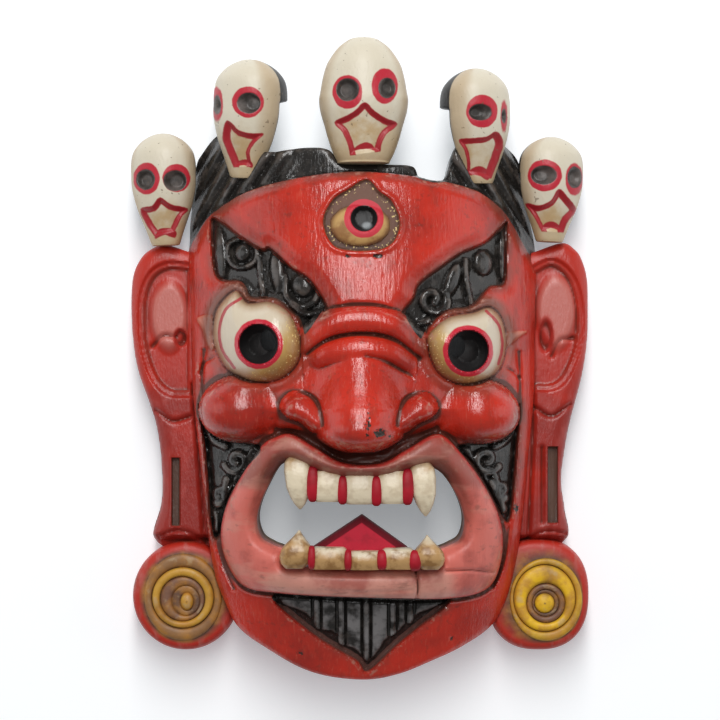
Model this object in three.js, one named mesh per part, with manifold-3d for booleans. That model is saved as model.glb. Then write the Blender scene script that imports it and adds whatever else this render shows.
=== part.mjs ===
// A wrathful guardian's dance mask: one block of wood, carved hollow behind, with a crown of five skulls,
// long ears with round earrings, bored pupils and an open, fanged mouth.
// Millimetres. The mask lies on its back rim: the face looks along +Z and the crown points along +Y.
import * as THREE from "three";
import { ParametricGeometry } from "three/addons/geometries/ParametricGeometry.js";
import { mergeVertices } from "three/addons/utils/BufferGeometryUtils.js";
import Module from "manifold-3d";

// The face's dome: height at its middle, and how far it falls towards the sides, the crown and the chin.
const DOME_TOP = 90;
const DOME_MIDDLE_Y = -10;
const FACE_HALF_WIDTH = 90;
const SIDE_FALL = 44;
const CROWN_FALL = 12;
const CROWN_REACH = 115;
const CHIN_FALL = 38;
const CHIN_REACH = 170;

// The block: wood over the hollow, the hollow's share of the face, and the rounding of the edges.
const MIDDLE = [0, -35];
const FACE_THICKNESS = 22;
const RIM_SHARE = 0.84;
const EDGE_ROUND = 5;
const EDGE_START = 1.5;
const BACK_SHARE = 0.985;
const HAIR_TOP = 68;
const HAIR_FALL = 36;
const HAIR_HALF_WIDTH = 95;
const BELOW = -6;
const ABOVE = 140;
const SPOKES = 40;
const RINGS = 16;
const HOLLOW_SPOKES = 28;
// The hollow's roof: share of the way out to its rim, and share of its full height.
const HOLLOW_ROOF = [[0, 1], [0.5, 0.97], [0.75, 0.88], [0.92, 0.62], [1, 0]];
// Above this line across the face the block's border is hair.
const HAIR_LINE_Y = 20;

// The right half of the red face's edge, from the crown to the chin. The left half mirrors it.
const FACE_EDGE = [
  [0, 105], [46, 100], [80, 80], [92, 34], [92, -22], [88, -79], [81, -120], [67, -151], [33, -173],
  [0, -179],
];

// The whole head's edge: the hair behind the crown, with a hump at the left of the middle skull and a dip
// at its right, and below it the face's own rounded border.
const HEAD_EDGE = [
  [0, 112], [-14, 117], [-48, 118], [-66, 130], [-82, 130], [-94, 113], [-98, 88], [-98, 62], [-95.5, 34],
  [-95, -22], [-91, -79], [-84, -120], [-70, -152.5], [-35, -175.5], [0, -181.5], [35, -175.5],
  [70, -152.5], [84, -120], [91, -79], [95, -22], [96, 34], [100, 62], [97, 88], [92, 113], [82, 126],
  [66, 127], [50, 108], [36, 103], [27, 110],
];

// Paired features: left, then right, as the viewer sees them.
const EYES = [
  { x: -56.6, y: 10.3, z: 70, size: [23.5, 23.5, 26], pupil: [-56, 8.2], pupilRadius: 10.5 },
  { x: 58.2, y: 7.1, z: 70, size: [22.5, 21.5, 26], pupil: [59.3, 4.4], pupilRadius: 10.3 },
];
const PUPIL_DEPTH = 9;
const PUPIL_FLARE = 2;
// The bores slant in and up, in degrees, towards a wearer's eyes, and widen behind their waist.
const SIGHT_HOLE = { radius: 6.5, waist: 22, backRadius: 10.5, length: 60, inward: 24, up: 10 };
const CHEEKS = [
  { x: -64, y: -28.5, z: 66, size: [21, 20, 28] },
  { x: 63, y: -31, z: 66, size: [22, 19, 28] },
];
const NOSTRILS = [
  { x: -32, y: -28.5, z: 88, size: [12.5, 11, 16] },
  { x: 31.5, y: -29, z: 88, size: [12, 10.5, 16] },
];
const NOSE = { x: 0, y: -25, z: 90, size: [20, 27, 31] };
const NOSE_BRIDGE = { x: 0, y: 2, z: 84, size: [24, 20, 20] };

// The two rolls of skin across the nose's root, as half-width, height at the ends, rise, z and radius.
const NOSE_ROLLS = [
  { reach: 29, endY: 10.5, rise: 15, z: 91, radius: 7 },
  { reach: 28, endY: 0, rise: 12, z: 96, radius: 7 },
];
const ROLL_END_DROP = 8;

// The third eye, upright on the forehead.
const THIRD_EYE = { x: 1, y: 75, lidHalfWidth: 21.5, lidHalfHeight: 16, tip: [3.8, 98], lift: 3 };
const THIRD_LID_ANGLES = [140, 190, 235, 305, 350, 400];
const THIRD_BALL = [16, 11, 7];
const THIRD_PUPIL = { x: 1, y: 2, lift: 8, radius: 7 };

// The lips: the crest of the ring, its half width and height, and the edge of the opening inside it.
const LIP_CREST = [
  [1, -61], [-41, -48], [-57, -62.5], [-66.5, -90], [-54, -115], [0, -122.5], [60, -118.5], [67.5, -90],
  [55.5, -60], [42, -49],
];
const LIP_HALF_WIDTH = 11;
const LIP_HEIGHT = 13;
const MOUTH_EDGE = [
  [1, -65], [-27, -61], [-41, -56], [-53, -72], [-57, -88], [-53, -98], [-44, -103], [-42, -115],
  [44, -115], [46, -103], [55, -98], [58, -86], [54, -70], [41, -59], [27, -62],
];

// Teeth: a row of incisors with grooved gaps between two fangs, above and below, and the tongue's wedge.
const TOOTH_ROWS = [
  {
    gum: -60, edge: -78, left: -29, right: 28, teeth: 4, z: [72, 92],
    fangs: [{ root: [-35, -56], tip: [-34.3, -81.5] }, { root: [34.5, -59], tip: [35.4, -85] }],
  },
  {
    gum: -117, edge: -102, left: -26, right: 30, teeth: 4, z: [70, 90],
    fangs: [{ root: [-35.5, -117], tip: [-32.5, -94.5] }, { root: [37.5, -117], tip: [36, -96.5] }],
  },
];
const TOOTH_GAP = 4.6;
const TOOTH_STEP = 2;
const FANG_HALF_WIDTH = 9;
const TONGUE = { corners: [[-29, -105], [29, -105], [1.6, -86.5]], z: [60, 80], bevel: 3 };

// Brows, sideburns and beard: raised black hair draped on the dome.
const BROW_EDGE = [
  [-81, 78], [-62, 66], [-42, 56], [-20, 33], [-20, 26], [-32, 13], [-41, 28], [-58, 33], [-66, 44],
  [-79, 44],
];
const BROW_CURLS = [[-67, 58, 7.5], [-32, 38, 9]];
const SIDEBURN_EDGE = [[-87, -26], [-66, -47], [-53, -48], [-74, -86], [-80, -95], [-84, -72]];
const SIDEBURN_CURLS = [[-70, -55, 6.5]];
const CURL_THICKNESS = 2.4;
const HAIR_LIFT = 3;
const BEARD_TOP_Y = -133;
const BEARD_TIP_Y = -168;
const BEARD_HALF_WIDTH = 46;
const BEARD_DEPTH = 7;
const BEARD_STRANDS = 5;
const BEARD_STRAND_SHARE = 0.66;
const BEARD_UNDER_LIP = 8;

// Ears and earrings.
const EAR_EDGE = [
  [-90, 62], [-111, 67], [-123, 61], [-131, 34], [-129, 2], [-121, -24], [-114, -52], [-113, -80],
  [-118, -104], [-84, -104],
];
const EAR_Z = [7, 30];
const EAR_BEVEL = 4;
const EAR_HOLLOW = { x: -109.5, y: 17, z: 33, size: [13, 37, 11] };
const EAR_RIDGE = { x: -111, y: 22, z: 21, size: [8, 21, 9] };
const LOBE_SLOT = { x: -105, y: -76, width: 4, height: 40, depth: 3.5 };
const EARRING = { x: -100.5, y: -135 };
// The turned profile of the disc's side and of the rosette on it: radius and height.
const DISC_PROFILE = [[0, 7], [28.5, 7], [30.5, 26], [27.5, 30]];
const ROSETTE_PROFILE = [
  [25, 32], [22, 30], [19.5, 32.5], [13, 32], [11, 29.5], [7, 29.5], [5, 33], [0, 33.5],
];

// A skull's half width at each height, as shares of its width and height.
const SKULL_PROFILE = [
  [0, 0.5], [0.2, 0.465], [0.36, 0.365], [0.47, 0.17], [0.49, 0], [0.44, -0.17], [0.35, -0.34],
  [0.26, -0.47], [0, -0.5],
];
// The skulls of the crown: place of the middle, size, and turn and tilt in degrees.
const SKULLS = [
  { at: [-112, 96, 31], width: 39, height: 66, turn: -8, tilt: 2 },
  { at: [-63, 135.5, 47], width: 46, height: 68, turn: -38, tilt: -3 },
  { at: [2, 144, 64], width: 50, height: 71, turn: 0, tilt: 0 },
  { at: [65.5, 131, 47], width: 44, height: 66, turn: 44, tilt: 2 },
  { at: [109, 96.5, 31], width: 38, height: 62, turn: 20, tilt: -2 },
];
const SKULL_FRONT = 0.86;
const SKULL_BACK = 0.6;
const SOCKET = { x: 0.2, y: 0.08, z: 0.37, radius: 0.14 };
const STAR = { points: 5, y: -0.22, outer: 0.27, inner: 0.12, floor: 0.88 };

const wasm = await Module();
wasm.setup();

// Height of the bare dome under the carving.
function domeHeight(x, y) {
  const side = SIDE_FALL * Math.abs(x / FACE_HALF_WIDTH) ** 2.5;
  const along = y - DOME_MIDDLE_Y;
  const end = along > 0 ? CROWN_FALL * (along / CROWN_REACH) ** 2 : CHIN_FALL * (along / CHIN_REACH) ** 2;
  return DOME_TOP - side - end;
}

// Height of the hair's surface beside and behind the face.
function hairHeight(x) {
  return HAIR_TOP - HAIR_FALL * (x / HAIR_HALF_WIDTH) ** 2;
}

// A closed geometry as a solid that can be joined and cut.
function solid(geometry) {
  const bare = new THREE.BufferGeometry().setAttribute("position", geometry.getAttribute("position"));
  bare.setIndex(geometry.index);
  const merged = mergeVertices(bare, 1e-3);
  return new wasm.Manifold(new wasm.Mesh({
    numProp: 3,
    vertProperties: new Float32Array(merged.getAttribute("position").array),
    triVerts: new Uint32Array(merged.index.array),
  }));
}

// A solid's surface as a geometry.
function surface(body) {
  const made = body.getMesh();
  const geometry = new THREE.BufferGeometry();
  geometry.setAttribute("position", new THREE.BufferAttribute(made.vertProperties, 3));
  geometry.setIndex(new THREE.BufferAttribute(made.triVerts, 1));
  geometry.computeVertexNormals();
  return geometry;
}

const join = (bodies) => bodies.reduce((all, body) => all.add(body));
const cut = (body, tools) => tools.reduce((left, tool) => left.subtract(tool), body);
const mirrored = (points) => points.map(([x, y]) => [-x, y]);
const turnedRound = (points) => points.slice().reverse();

// Points along the smooth closed curve through the given corners.
function smoothEdge(corners, count) {
  const places = corners.map(([x, y]) => new THREE.Vector3(x, y, 0));
  const curve = new THREE.CatmullRomCurve3(places, true, "centripetal");
  return curve.getPoints(count).slice(0, count);
}

// A flat slab between two heights, with its edges broken by a bevel.
function slab(edge, low, high, bevel) {
  const shape = new THREE.Shape(edge.map((p) => new THREE.Vector2(p.x, p.y)));
  const geometry = new THREE.ExtrudeGeometry(shape, {
    depth: high - low - 2 * bevel,
    bevelEnabled: bevel > 0,
    bevelThickness: bevel,
    bevelSize: bevel,
    bevelOffset: -bevel,
    bevelSegments: 1,
    steps: 1,
  });
  return geometry.translate(0, 0, low + bevel);
}

// Bends a flat geometry over the dome: z counts from the dome's surface.
function draped(geometry) {
  const place = geometry.getAttribute("position");
  for (let i = 0; i < place.count; i++) {
    place.setZ(i, place.getZ(i) + domeHeight(place.getX(i), place.getY(i)));
  }
  return geometry;
}

// A scaled ball.
function ball({ x, y, z, size }, around = 12, up = 8) {
  return solid(new THREE.SphereGeometry(1, around, up).scale(...size).translate(x, y, z));
}

// A round bar along a bow that rises to its middle and drops back at its ends.
function roll({ reach, endY, rise, z, radius }) {
  const path = new THREE.CatmullRomCurve3([-1, -0.6, 0, 0.6, 1].map((t) => (
    new THREE.Vector3(reach * t, endY + rise * (1 - t * t), z - ROLL_END_DROP * t * t)
  )));
  const section = new THREE.Shape().absarc(0, 0, radius, 0, 2 * Math.PI);
  return solid(new THREE.ExtrudeGeometry(section, { extrudePath: path, steps: 8, curveSegments: 4 }));
}

// A flat ring of carved hair lying on the dome.
function curl([x, y, radius]) {
  const ring = new THREE.TorusGeometry(radius, CURL_THICKNESS, 4, 8).translate(x, y, HAIR_LIFT);
  return solid(draped(ring));
}

// Distance from a point to a closed run of points.
function distanceTo(edge, x, y) {
  const spot = new THREE.Vector3(x, y, 0);
  const nearest = new THREE.Vector3();
  return Math.min(...edge.map((corner, i) => {
    new THREE.Line3(corner, edge[(i + 1) % edge.length]).closestPointToPoint(spot, true, nearest);
    return nearest.distanceTo(spot);
  }));
}

// Height of the carved face: the dome with the ring of the lips standing out of it.
function faceHeight(lipCrest, x, y) {
  const fromCrest = Math.min(distanceTo(lipCrest, x, y) / LIP_HALF_WIDTH, 1);
  return domeHeight(x, y) + LIP_HEIGHT * Math.sqrt(1 - fromCrest ** 2);
}

// The point of a closed edge that lies in a given direction from the middle.
function pointTowards(edge, angle) {
  const along = new THREE.Vector2(Math.cos(angle), Math.sin(angle));
  const spots = edge.map((p) => new THREE.Vector2(p.x - MIDDLE[0], p.y - MIDDLE[1]));
  const start = spots.findIndex((spot, i) => {
    const next = spots[(i + 1) % spots.length];
    return along.cross(spot) <= 0 && along.cross(next) > 0 && along.dot(spot) > 0;
  });
  const [from, to] = [spots[start], spots[(start + 1) % spots.length]];
  const share = along.cross(from) / (along.cross(from) - along.cross(to));
  return from.clone().lerp(to, share).add(new THREE.Vector2(...MIDDLE));
}

// A body of rings: every spoke runs through a point of each edge, and each ring has a share and a height.
function ringBody(spokes, rings) {
  const stack = rings.length - 1;
  const point = (u, v, target) => {
    const spoke = spokes[Math.round((1 - u) * spokes.length) % spokes.length];
    const { edge, share, height } = rings[Math.round(v * stack)];
    const x = THREE.MathUtils.lerp(MIDDLE[0], spoke[edge].x, share);
    const y = THREE.MathUtils.lerp(MIDDLE[1], spoke[edge].y, share);
    target.set(x, y, height(x, y));
  };
  return solid(new ParametricGeometry(point, spokes.length, stack));
}

// The block with its carved front, and the hollow behind it.
function carveBlock() {
  const faceCorners = turnedRound([...FACE_EDGE, ...turnedRound(mirrored(FACE_EDGE.slice(1, -1)))]);
  const face = smoothEdge(faceCorners, 240);
  const head = smoothEdge(HEAD_EDGE, 240);
  const lipCrest = smoothEdge(LIP_CREST, 60);
  const spokesOf = (count) => Array.from({ length: count }, (_, i) => {
    const angle = 2 * Math.PI * (i + 0.5) / count;
    return { face: pointTowards(face, angle), head: pointTowards(head, angle) };
  });
  const front = (x, y) => faceHeight(lipCrest, x, y);
  const border = (drop) => (x, y) => {
    const hair = y > HAIR_LINE_Y ? hairHeight(x) : Infinity;
    return Math.min(hair, domeHeight(x, y)) - drop;
  };
  const rings = Array.from({ length: RINGS + 1 }, (_, i) => (
    { edge: "face", share: i / RINGS, height: front }
  ));
  const block = ringBody(spokesOf(SPOKES), [
    ...rings,
    { edge: "head", share: BACK_SHARE, height: border(EDGE_START) },
    { edge: "head", share: 1, height: border(EDGE_ROUND) },
    { edge: "head", share: BACK_SHARE, height: () => 0 },
    { edge: "head", share: 0, height: () => 0 },
  ]);
  const roof = (share) => (x, y) => (domeHeight(x, y) - FACE_THICKNESS) * share;
  const hollow = ringBody(spokesOf(HOLLOW_SPOKES), [
    ...HOLLOW_ROOF.map(([out, up]) => ({ edge: "face", share: RIM_SHARE * out, height: roof(up) })),
    { edge: "face", share: RIM_SHARE, height: () => BELOW },
    { edge: "face", share: 0, height: () => BELOW },
  ]);
  return { block, hollow };
}

// Nose, cheeks, eyeballs and the nose's rolls, and the third eye's onion-shaped lid with a ball in it.
function carveFeatures() {
  const { x, y, lidHalfWidth, lidHalfHeight, tip, lift } = THIRD_EYE;
  const lidCorners = [tip, ...THIRD_LID_ANGLES.map((degrees) => {
    const a = THREE.MathUtils.degToRad(degrees);
    return [x + lidHalfWidth * Math.cos(a), y + lidHalfHeight * Math.sin(a)];
  })];
  const lid = solid(draped(slab(smoothEdge(lidCorners, 18), -6, lift, 1.5)));
  const thirdBall = ball({ x, y: y - 1, z: domeHeight(x, y) - 1, size: THIRD_BALL });
  const round = [...EYES, ...CHEEKS, ...NOSTRILS, NOSE, NOSE_BRIDGE].map((form) => ball(form));
  return join([lid, thirdBall, ...round, ...NOSE_ROLLS.map(roll)]);
}

// Each pupil is a funnel that narrows to the slanting sight hole. The third eye's pupil is blind.
function pupilTools() {
  const { radius, waist, backRadius, length, inward, up } = SIGHT_HOLE;
  const bored = EYES.map(({ pupil: [x, y], pupilRadius, z, size }) => {
    const flare = PUPIL_DEPTH * PUPIL_FLARE / (pupilRadius - radius);
    const profile = [
      [0, -length], [backRadius, -length], [radius, -waist], [radius, -PUPIL_DEPTH],
      [pupilRadius + PUPIL_FLARE, flare], [0, flare],
    ].map(([r, h]) => new THREE.Vector2(r, h));
    const bore = new THREE.LatheGeometry(profile, 16).rotateX(Math.PI / 2);
    bore.rotateY(Math.sign(x) * THREE.MathUtils.degToRad(inward)).rotateX(THREE.MathUtils.degToRad(up));
    return solid(bore.translate(x, y, z + size[2]));
  });
  const { x, y } = THIRD_EYE;
  const blind = ball({
    x: x + THIRD_PUPIL.x,
    y: y + THIRD_PUPIL.y,
    z: domeHeight(x, y) + THIRD_PUPIL.lift,
    size: Array(3).fill(THIRD_PUPIL.radius),
  }, 14, 8);
  return [...bored, blind];
}

// The opening of the mouth, right through the wood.
function mouthTool() {
  return solid(slab(smoothEdge(MOUTH_EDGE, 30), BELOW, ABOVE, 0));
}

// One row of teeth: a gum bar with raised incisors, and a flattened cone for each fang.
function toothRow({ gum, edge, left, right, teeth, z, fangs }) {
  const box = (x0, x1, y0, y1, z0, z1) => {
    const block = new THREE.BoxGeometry(x1 - x0, Math.abs(y1 - y0), z1 - z0);
    return solid(block.translate((x0 + x1) / 2, (y0 + y1) / 2, (z0 + z1) / 2));
  };
  const bar = box(left, right, gum, edge, z[0], z[1] - TOOTH_STEP);
  const pitch = (right - left) / teeth;
  const incisors = Array.from({ length: teeth }, (_, i) => box(
    left + i * pitch + TOOTH_GAP / 2, left + (i + 1) * pitch - TOOTH_GAP / 2, gum, edge, z[0] + 1, z[1],
  ));
  const points = fangs.map(({ root, tip }) => {
    const length = Math.abs(tip[1] - root[1]);
    const cone = new THREE.ConeGeometry(FANG_HALF_WIDTH, length, 8);
    if (tip[1] < root[1]) cone.rotateX(Math.PI);
    const [x, y] = [(root[0] + tip[0]) / 2, (root[1] + tip[1]) / 2];
    return solid(cone.translate(x, y, (z[0] + z[1]) / 2 + TOOTH_STEP));
  });
  return join([bar, ...incisors, ...points]);
}

function carveTongue() {
  const corners = TONGUE.corners.map(([x, y]) => new THREE.Vector2(x, y));
  return solid(slab(corners, ...TONGUE.z, TONGUE.bevel));
}

// Brow and sideburn of one side: raised patches with rings of hair.
function carveSideHair(flip) {
  const edges = [BROW_EDGE, SIDEBURN_EDGE].map((edge) => flip ? mirrored(edge) : turnedRound(edge));
  const rings = [...BROW_CURLS, ...SIDEBURN_CURLS].map(([x, y, radius]) => [flip ? -x : x, y, radius]);
  const patches = edges.map((edge) => solid(draped(slab(smoothEdge(edge, 16), -8, HAIR_LIFT, 1))));
  return join([...patches, ...rings.map(curl)]);
}

// The beard: a sunk triangle under the lip, and the upright strands left standing in it.
function beardTools() {
  const corners = [[-BEARD_HALF_WIDTH, BEARD_TOP_Y], [2, BEARD_TIP_Y], [BEARD_HALF_WIDTH, BEARD_TOP_Y]];
  const sunk = slab(corners.map(([x, y]) => new THREE.Vector2(x, y)), -BEARD_DEPTH, ABOVE - DOME_TOP, 0);
  const pitch = 2 * BEARD_HALF_WIDTH / (BEARD_STRANDS + 1);
  const strands = Array.from({ length: BEARD_STRANDS }, (_, i) => {
    const x = -BEARD_HALF_WIDTH + (i + 1) * pitch;
    const low = THREE.MathUtils.lerp(BEARD_TOP_Y, BEARD_TIP_Y, 1 - Math.abs(x) / BEARD_HALF_WIDTH);
    const top = BEARD_TOP_Y + BEARD_UNDER_LIP;
    const strand = new THREE.BoxGeometry(pitch * BEARD_STRAND_SHARE, top - low, BEARD_DEPTH);
    return solid(draped(strand.translate(x, (low + top) / 2, -BEARD_DEPTH)));
  });
  return { sunk: solid(draped(sunk)), strands };
}

// One ear with its hollow, its lobe's slot and the turned earring below.
function carveEar(flip) {
  const side = flip ? -1 : 1;
  const at = (form) => ({ ...form, x: side * form.x });
  const edge = smoothEdge(flip ? turnedRound(mirrored(EAR_EDGE)) : EAR_EDGE, 24);
  const plate = solid(slab(edge, ...EAR_Z, EAR_BEVEL));
  const slot = new THREE.BoxGeometry(LOBE_SLOT.width, LOBE_SLOT.height, 2 * LOBE_SLOT.depth);
  const slotTool = solid(slot.translate(side * LOBE_SLOT.x, LOBE_SLOT.y, EAR_Z[1]));
  const ear = cut(plate, [ball(at(EAR_HOLLOW), 12, 8), slotTool]).add(ball(at(EAR_RIDGE), 10, 6));
  const profile = [...DISC_PROFILE, ...ROSETTE_PROFILE].map(([r, z]) => new THREE.Vector2(r, z));
  const disc = new THREE.LatheGeometry(profile, 16).rotateX(Math.PI / 2);
  return join([ear, solid(disc.translate(side * EARRING.x, EARRING.y, 0))]);
}

// A skull's bare form: its upright profile carried round, deeper in front than behind.
function skullForm(width, height, share) {
  const corners = SKULL_PROFILE.map(([r, h]) => new THREE.Vector2(r * width, h * height));
  const profile = new THREE.SplineCurve(corners);
  const form = (u, v, target) => {
    const { x: radius, y } = profile.getPoint(v);
    const angle = -2 * Math.PI * u;
    const depth = Math.cos(angle) > 0 ? SKULL_FRONT : SKULL_BACK;
    const reach = share * Math.max(radius, 0);
    target.set(reach * Math.sin(angle), y * share, reach * depth * Math.cos(angle));
  };
  return new ParametricGeometry(form, 12, 8);
}

// One skull with sunk eyes and the star-shaped hollow of nose, cheeks and mouth.
function carveSkull({ at, width, height, turn, tilt }) {
  const place = new THREE.Matrix4().makeTranslation(...at);
  place.multiply(new THREE.Matrix4().makeRotationY(THREE.MathUtils.degToRad(turn)));
  place.multiply(new THREE.Matrix4().makeRotationZ(THREE.MathUtils.degToRad(tilt)));
  const placed = (geometry) => solid(geometry.applyMatrix4(place));
  const starEdge = Array.from({ length: 2 * STAR.points }, (_, i) => {
    const angle = Math.PI / 2 + i * Math.PI / STAR.points;
    const radius = width * (i % 2 ? STAR.inner : STAR.outer);
    return new THREE.Vector2(radius * Math.cos(angle), STAR.y * height + radius * Math.sin(angle));
  });
  const star = placed(slab(starEdge, 0, width, 0)).subtract(placed(skullForm(width, height, STAR.floor)));
  const sockets = [-1, 1].map((side) => {
    const radius = SOCKET.radius * width;
    const eye = new THREE.SphereGeometry(radius, 8, 6);
    return placed(eye.translate(side * SOCKET.x * width, SOCKET.y * height, SOCKET.z * width));
  });
  return cut(placed(skullForm(width, height, 1)), [star, ...sockets]);
}

// The whole mask as one piece of wood.
function carveMask() {
  const { block, hollow } = carveBlock();
  const { sunk, strands } = beardTools();
  const chin = join([cut(block, [sunk]), ...strands]);
  const face = join([chin, carveFeatures(), carveSideHair(false), carveSideHair(true)]);
  const opened = cut(face, [hollow, mouthTool(), ...pupilTools()]);
  const teeth = cut(join([...TOOTH_ROWS.map(toothRow), carveTongue()]), [hollow]);
  return join([opened, teeth, carveEar(false), carveEar(true), ...SKULLS.map(carveSkull)]);
}

const paintedWood = new THREE.MeshStandardMaterial({ color: 0xb43a2e, roughness: 0.42, metalness: 0 });
const mask = new THREE.Mesh(surface(carveMask()), paintedWood);
mask.name = "carved_mask";

// The origin is under the middle of the mask, in the plane of its rim.
const middle = new THREE.Box3().setFromObject(mask).getCenter(new THREE.Vector3());
mask.position.set(-middle.x, -middle.y, 0);

const part = new THREE.Group();
part.add(mask);

export default part;
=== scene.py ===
"""Looks of a carved and painted wooden guardian mask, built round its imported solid.

Outlines and heights are worked out in millimetres from the middle of the photograph's frame, over the
plane of the back rim. Meshes are written in metres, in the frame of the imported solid.
"""

import math

import bpy
import numpy as np
from bpy.props import FloatProperty, FloatVectorProperty, PointerProperty
from bpy.types import Operator, Panel, PropertyGroup
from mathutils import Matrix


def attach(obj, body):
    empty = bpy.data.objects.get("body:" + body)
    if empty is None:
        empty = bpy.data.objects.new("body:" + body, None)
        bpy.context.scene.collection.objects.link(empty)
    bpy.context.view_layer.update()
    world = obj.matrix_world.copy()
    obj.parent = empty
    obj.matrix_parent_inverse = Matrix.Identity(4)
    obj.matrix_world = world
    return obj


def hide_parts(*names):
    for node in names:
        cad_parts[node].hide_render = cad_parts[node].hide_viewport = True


bl_info = {
    "name": "Carved Guardian Mask",
    "version": (1, 0, 0),
    "blender": (4, 5, 0),
    "location": "View3D > Sidebar > Mask",
    "description": "Carves and paints a wooden guardian mask with a crown of skulls",
    "category": "Object",
}

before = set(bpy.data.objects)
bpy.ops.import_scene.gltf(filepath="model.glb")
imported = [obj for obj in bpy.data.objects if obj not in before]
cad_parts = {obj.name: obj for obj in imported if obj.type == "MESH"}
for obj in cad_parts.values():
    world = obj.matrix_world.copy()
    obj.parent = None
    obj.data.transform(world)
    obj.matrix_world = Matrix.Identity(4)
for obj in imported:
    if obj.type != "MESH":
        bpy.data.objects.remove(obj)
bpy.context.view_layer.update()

MM = 0.001
NODE = "carved_mask"

# The photograph: its middle in pixels, its scale in pixels per millimetre at the rim, the camera's
# height over the rim, and where the frame's middle lies on the solid.
PHOTO_MIDDLE = 360
PHOTO_SCALE = 1.718
CAMERA_HEIGHT = 1400
FRAME_SHIFT = np.array([0.0, 0.72, 0.0])

# The dome of the face and the lower surface of the hair, as in the solid.
DOME_TOP = 90
DOME_MIDDLE_Y = -10
FACE_HALF_WIDTH = 90
SIDE_FALL = 44
CROWN_FALL = 12
CROWN_REACH = 115
CHIN_FALL = 38
CHIN_REACH = 170
HAIR_TOP = 66
HAIR_FALL = 34
HAIR_HALF_WIDTH = 95
EDGE_ROUND = 5
EYE_SHARE = 0.935

# The hollow behind, as in the solid.
HOLLOW_MIDDLE = (0, -35)
HOLLOW_SHARE = 0.84
FACE_THICKNESS = 22
HOLLOW_RISE = [(0.001, 1.0), (0.3, 0.99), (0.5, 0.97), (0.75, 0.88), (0.86, 0.75), (0.92, 0.62),
               (0.97, 0.4), (1, 0)]

# Outlines read off the photograph, in its pixels.
HEAD_EDGE = [
    (368, 682), (330, 679), (300, 670), (270, 653), (238, 630), (222, 600), (212, 570), (205, 520),
    (198, 455), (192, 400), (190, 350), (189, 300), (187, 252), (189, 205), (193, 165), (200, 150),
    (217, 131), (240, 128), (260, 150), (305, 146), (328, 148), (345, 162), (387, 163), (413, 165),
    (421, 177), (444, 178), (456, 145), (482, 131), (503, 140), (520, 157), (526, 182), (531, 215),
    (538, 252), (537, 300), (536, 350), (535, 400), (530, 455), (525, 510), (518, 560), (508, 600),
    (492, 628), (462, 649), (430, 664), (400, 676),
]
FOREHEAD_EDGE = [
    (187, 252), (200, 228), (212, 213), (250, 190), (310, 175), (360, 171), (410, 175), (450, 182),
    (480, 192), (500, 207), (512, 222), (527, 250), (540, 268),
]
BROWS = [
    [(212, 217), (240, 236), (262, 249), (270, 248), (290, 266), (310, 280), (326, 305),
     (322, 315), (305, 337), (297, 318), (275, 300), (250, 298), (240, 283), (217, 278),
     (211, 245)],
    [(508, 222), (507, 250), (505, 283), (490, 288), (472, 307), (447, 312), (430, 328),
     (420, 341), (403, 315), (413, 298), (419, 283), (440, 267), (460, 253), (485, 242),
     (498, 230)],
]
EYES = [
    {"edge": [(212, 330), (217, 307), (235, 290), (248, 302), (270, 301), (290, 313), (301, 340),
              (297, 364), (278, 380), (248, 382), (227, 370), (215, 350)],
     "pupil": (258, 344), "iris_size": 25, "inward": 1,
     "vein": [(240, 298), (225, 310), (219, 330), (222, 350), (234, 368)]},
    {"edge": [(427, 342), (434, 327), (450, 316), (472, 312), (490, 307), (503, 320), (507, 345),
              (500, 370), (480, 384), (458, 384), (437, 371)],
     "pupil": (469, 351), "iris_size": 26, "inward": -1,
     "vein": [(487, 311), (499, 325), (503, 345), (499, 364)]},
]
THIRD_EYE = [
    (367, 179), (348, 189), (333, 199), (323, 220), (330, 242), (345, 250), (378, 250), (394, 241),
    (400, 222), (392, 201), (380, 192),
]
# Third eye's ball in pixels; one point marks a painted reflection of light in its pupil.
THIRD_BALL = {"middle": (360, 225), "size": (30, 21), "pupil": (364, 218), "painted_glint": (367, 225),
              "iris_size": 20}
EYE_CORNERS = [
    [(214, 317), (197, 318), (203, 331), (209, 348), (216, 346)],
    [(504, 334), (527, 331), (518, 338), (505, 348)],
]
LIP_EDGE = [
    (258, 449), (275, 437), (292, 434), (318, 449), (345, 463), (380, 463), (407, 449), (435, 434),
    (455, 445), (485, 485), (502, 525), (501, 565), (485, 591), (440, 600), (360, 599), (280, 594),
    (244, 587), (226, 562), (220, 530), (230, 495),
]
MOUTH_EDGE = [
    (283, 462), (310, 469), (335, 477), (385, 477), (410, 470), (436, 468), (455, 488), (466, 516),
    (463, 538), (450, 547), (438, 553), (436, 566), (400, 569), (320, 568), (287, 566), (285, 552),
    (272, 546), (259, 537), (255, 516), (265, 488),
]
SIDEBURNS = [
    [(199, 405), (206, 425), (222, 440), (262, 447), (246, 470), (228, 500), (220, 534),
     (212, 534), (208, 490), (204, 445)],
    [(519, 405), (515, 425), (500, 441), (458, 446), (474, 466), (492, 496), (504, 520),
     (510, 518), (514, 480), (517, 440)],
]
BEARD_HOLLOW = [
    (275, 600), (284, 611), (320, 639), (356, 660), (368, 671), (396, 646), (420, 626), (447, 604),
    (440, 598), (360, 596), (282, 594),
]
BEARD = [
    (277, 603), (298, 611), (309, 618), (317, 630), (333, 633), (339, 645), (354, 650), (364, 661),
    (370, 662), (379, 652), (386, 641), (396, 635), (405, 626), (412, 624), (418, 615), (428, 611),
    (445, 603), (440, 597), (360, 595), (280, 593),
]
BEARD_STRANDS = (316.5, 341, 366.5, 393, 410.5)
# Cheeks: middle, and reach across, up and down, in millimetres.
CHEEKS = [{"middle": (-66, -28), "size": (24, 20, 18)}, {"middle": (65, -30), "size": (24, 20, 17)}]
CHEEK_BASE = 64
CHEEK_RISE = 27
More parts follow.
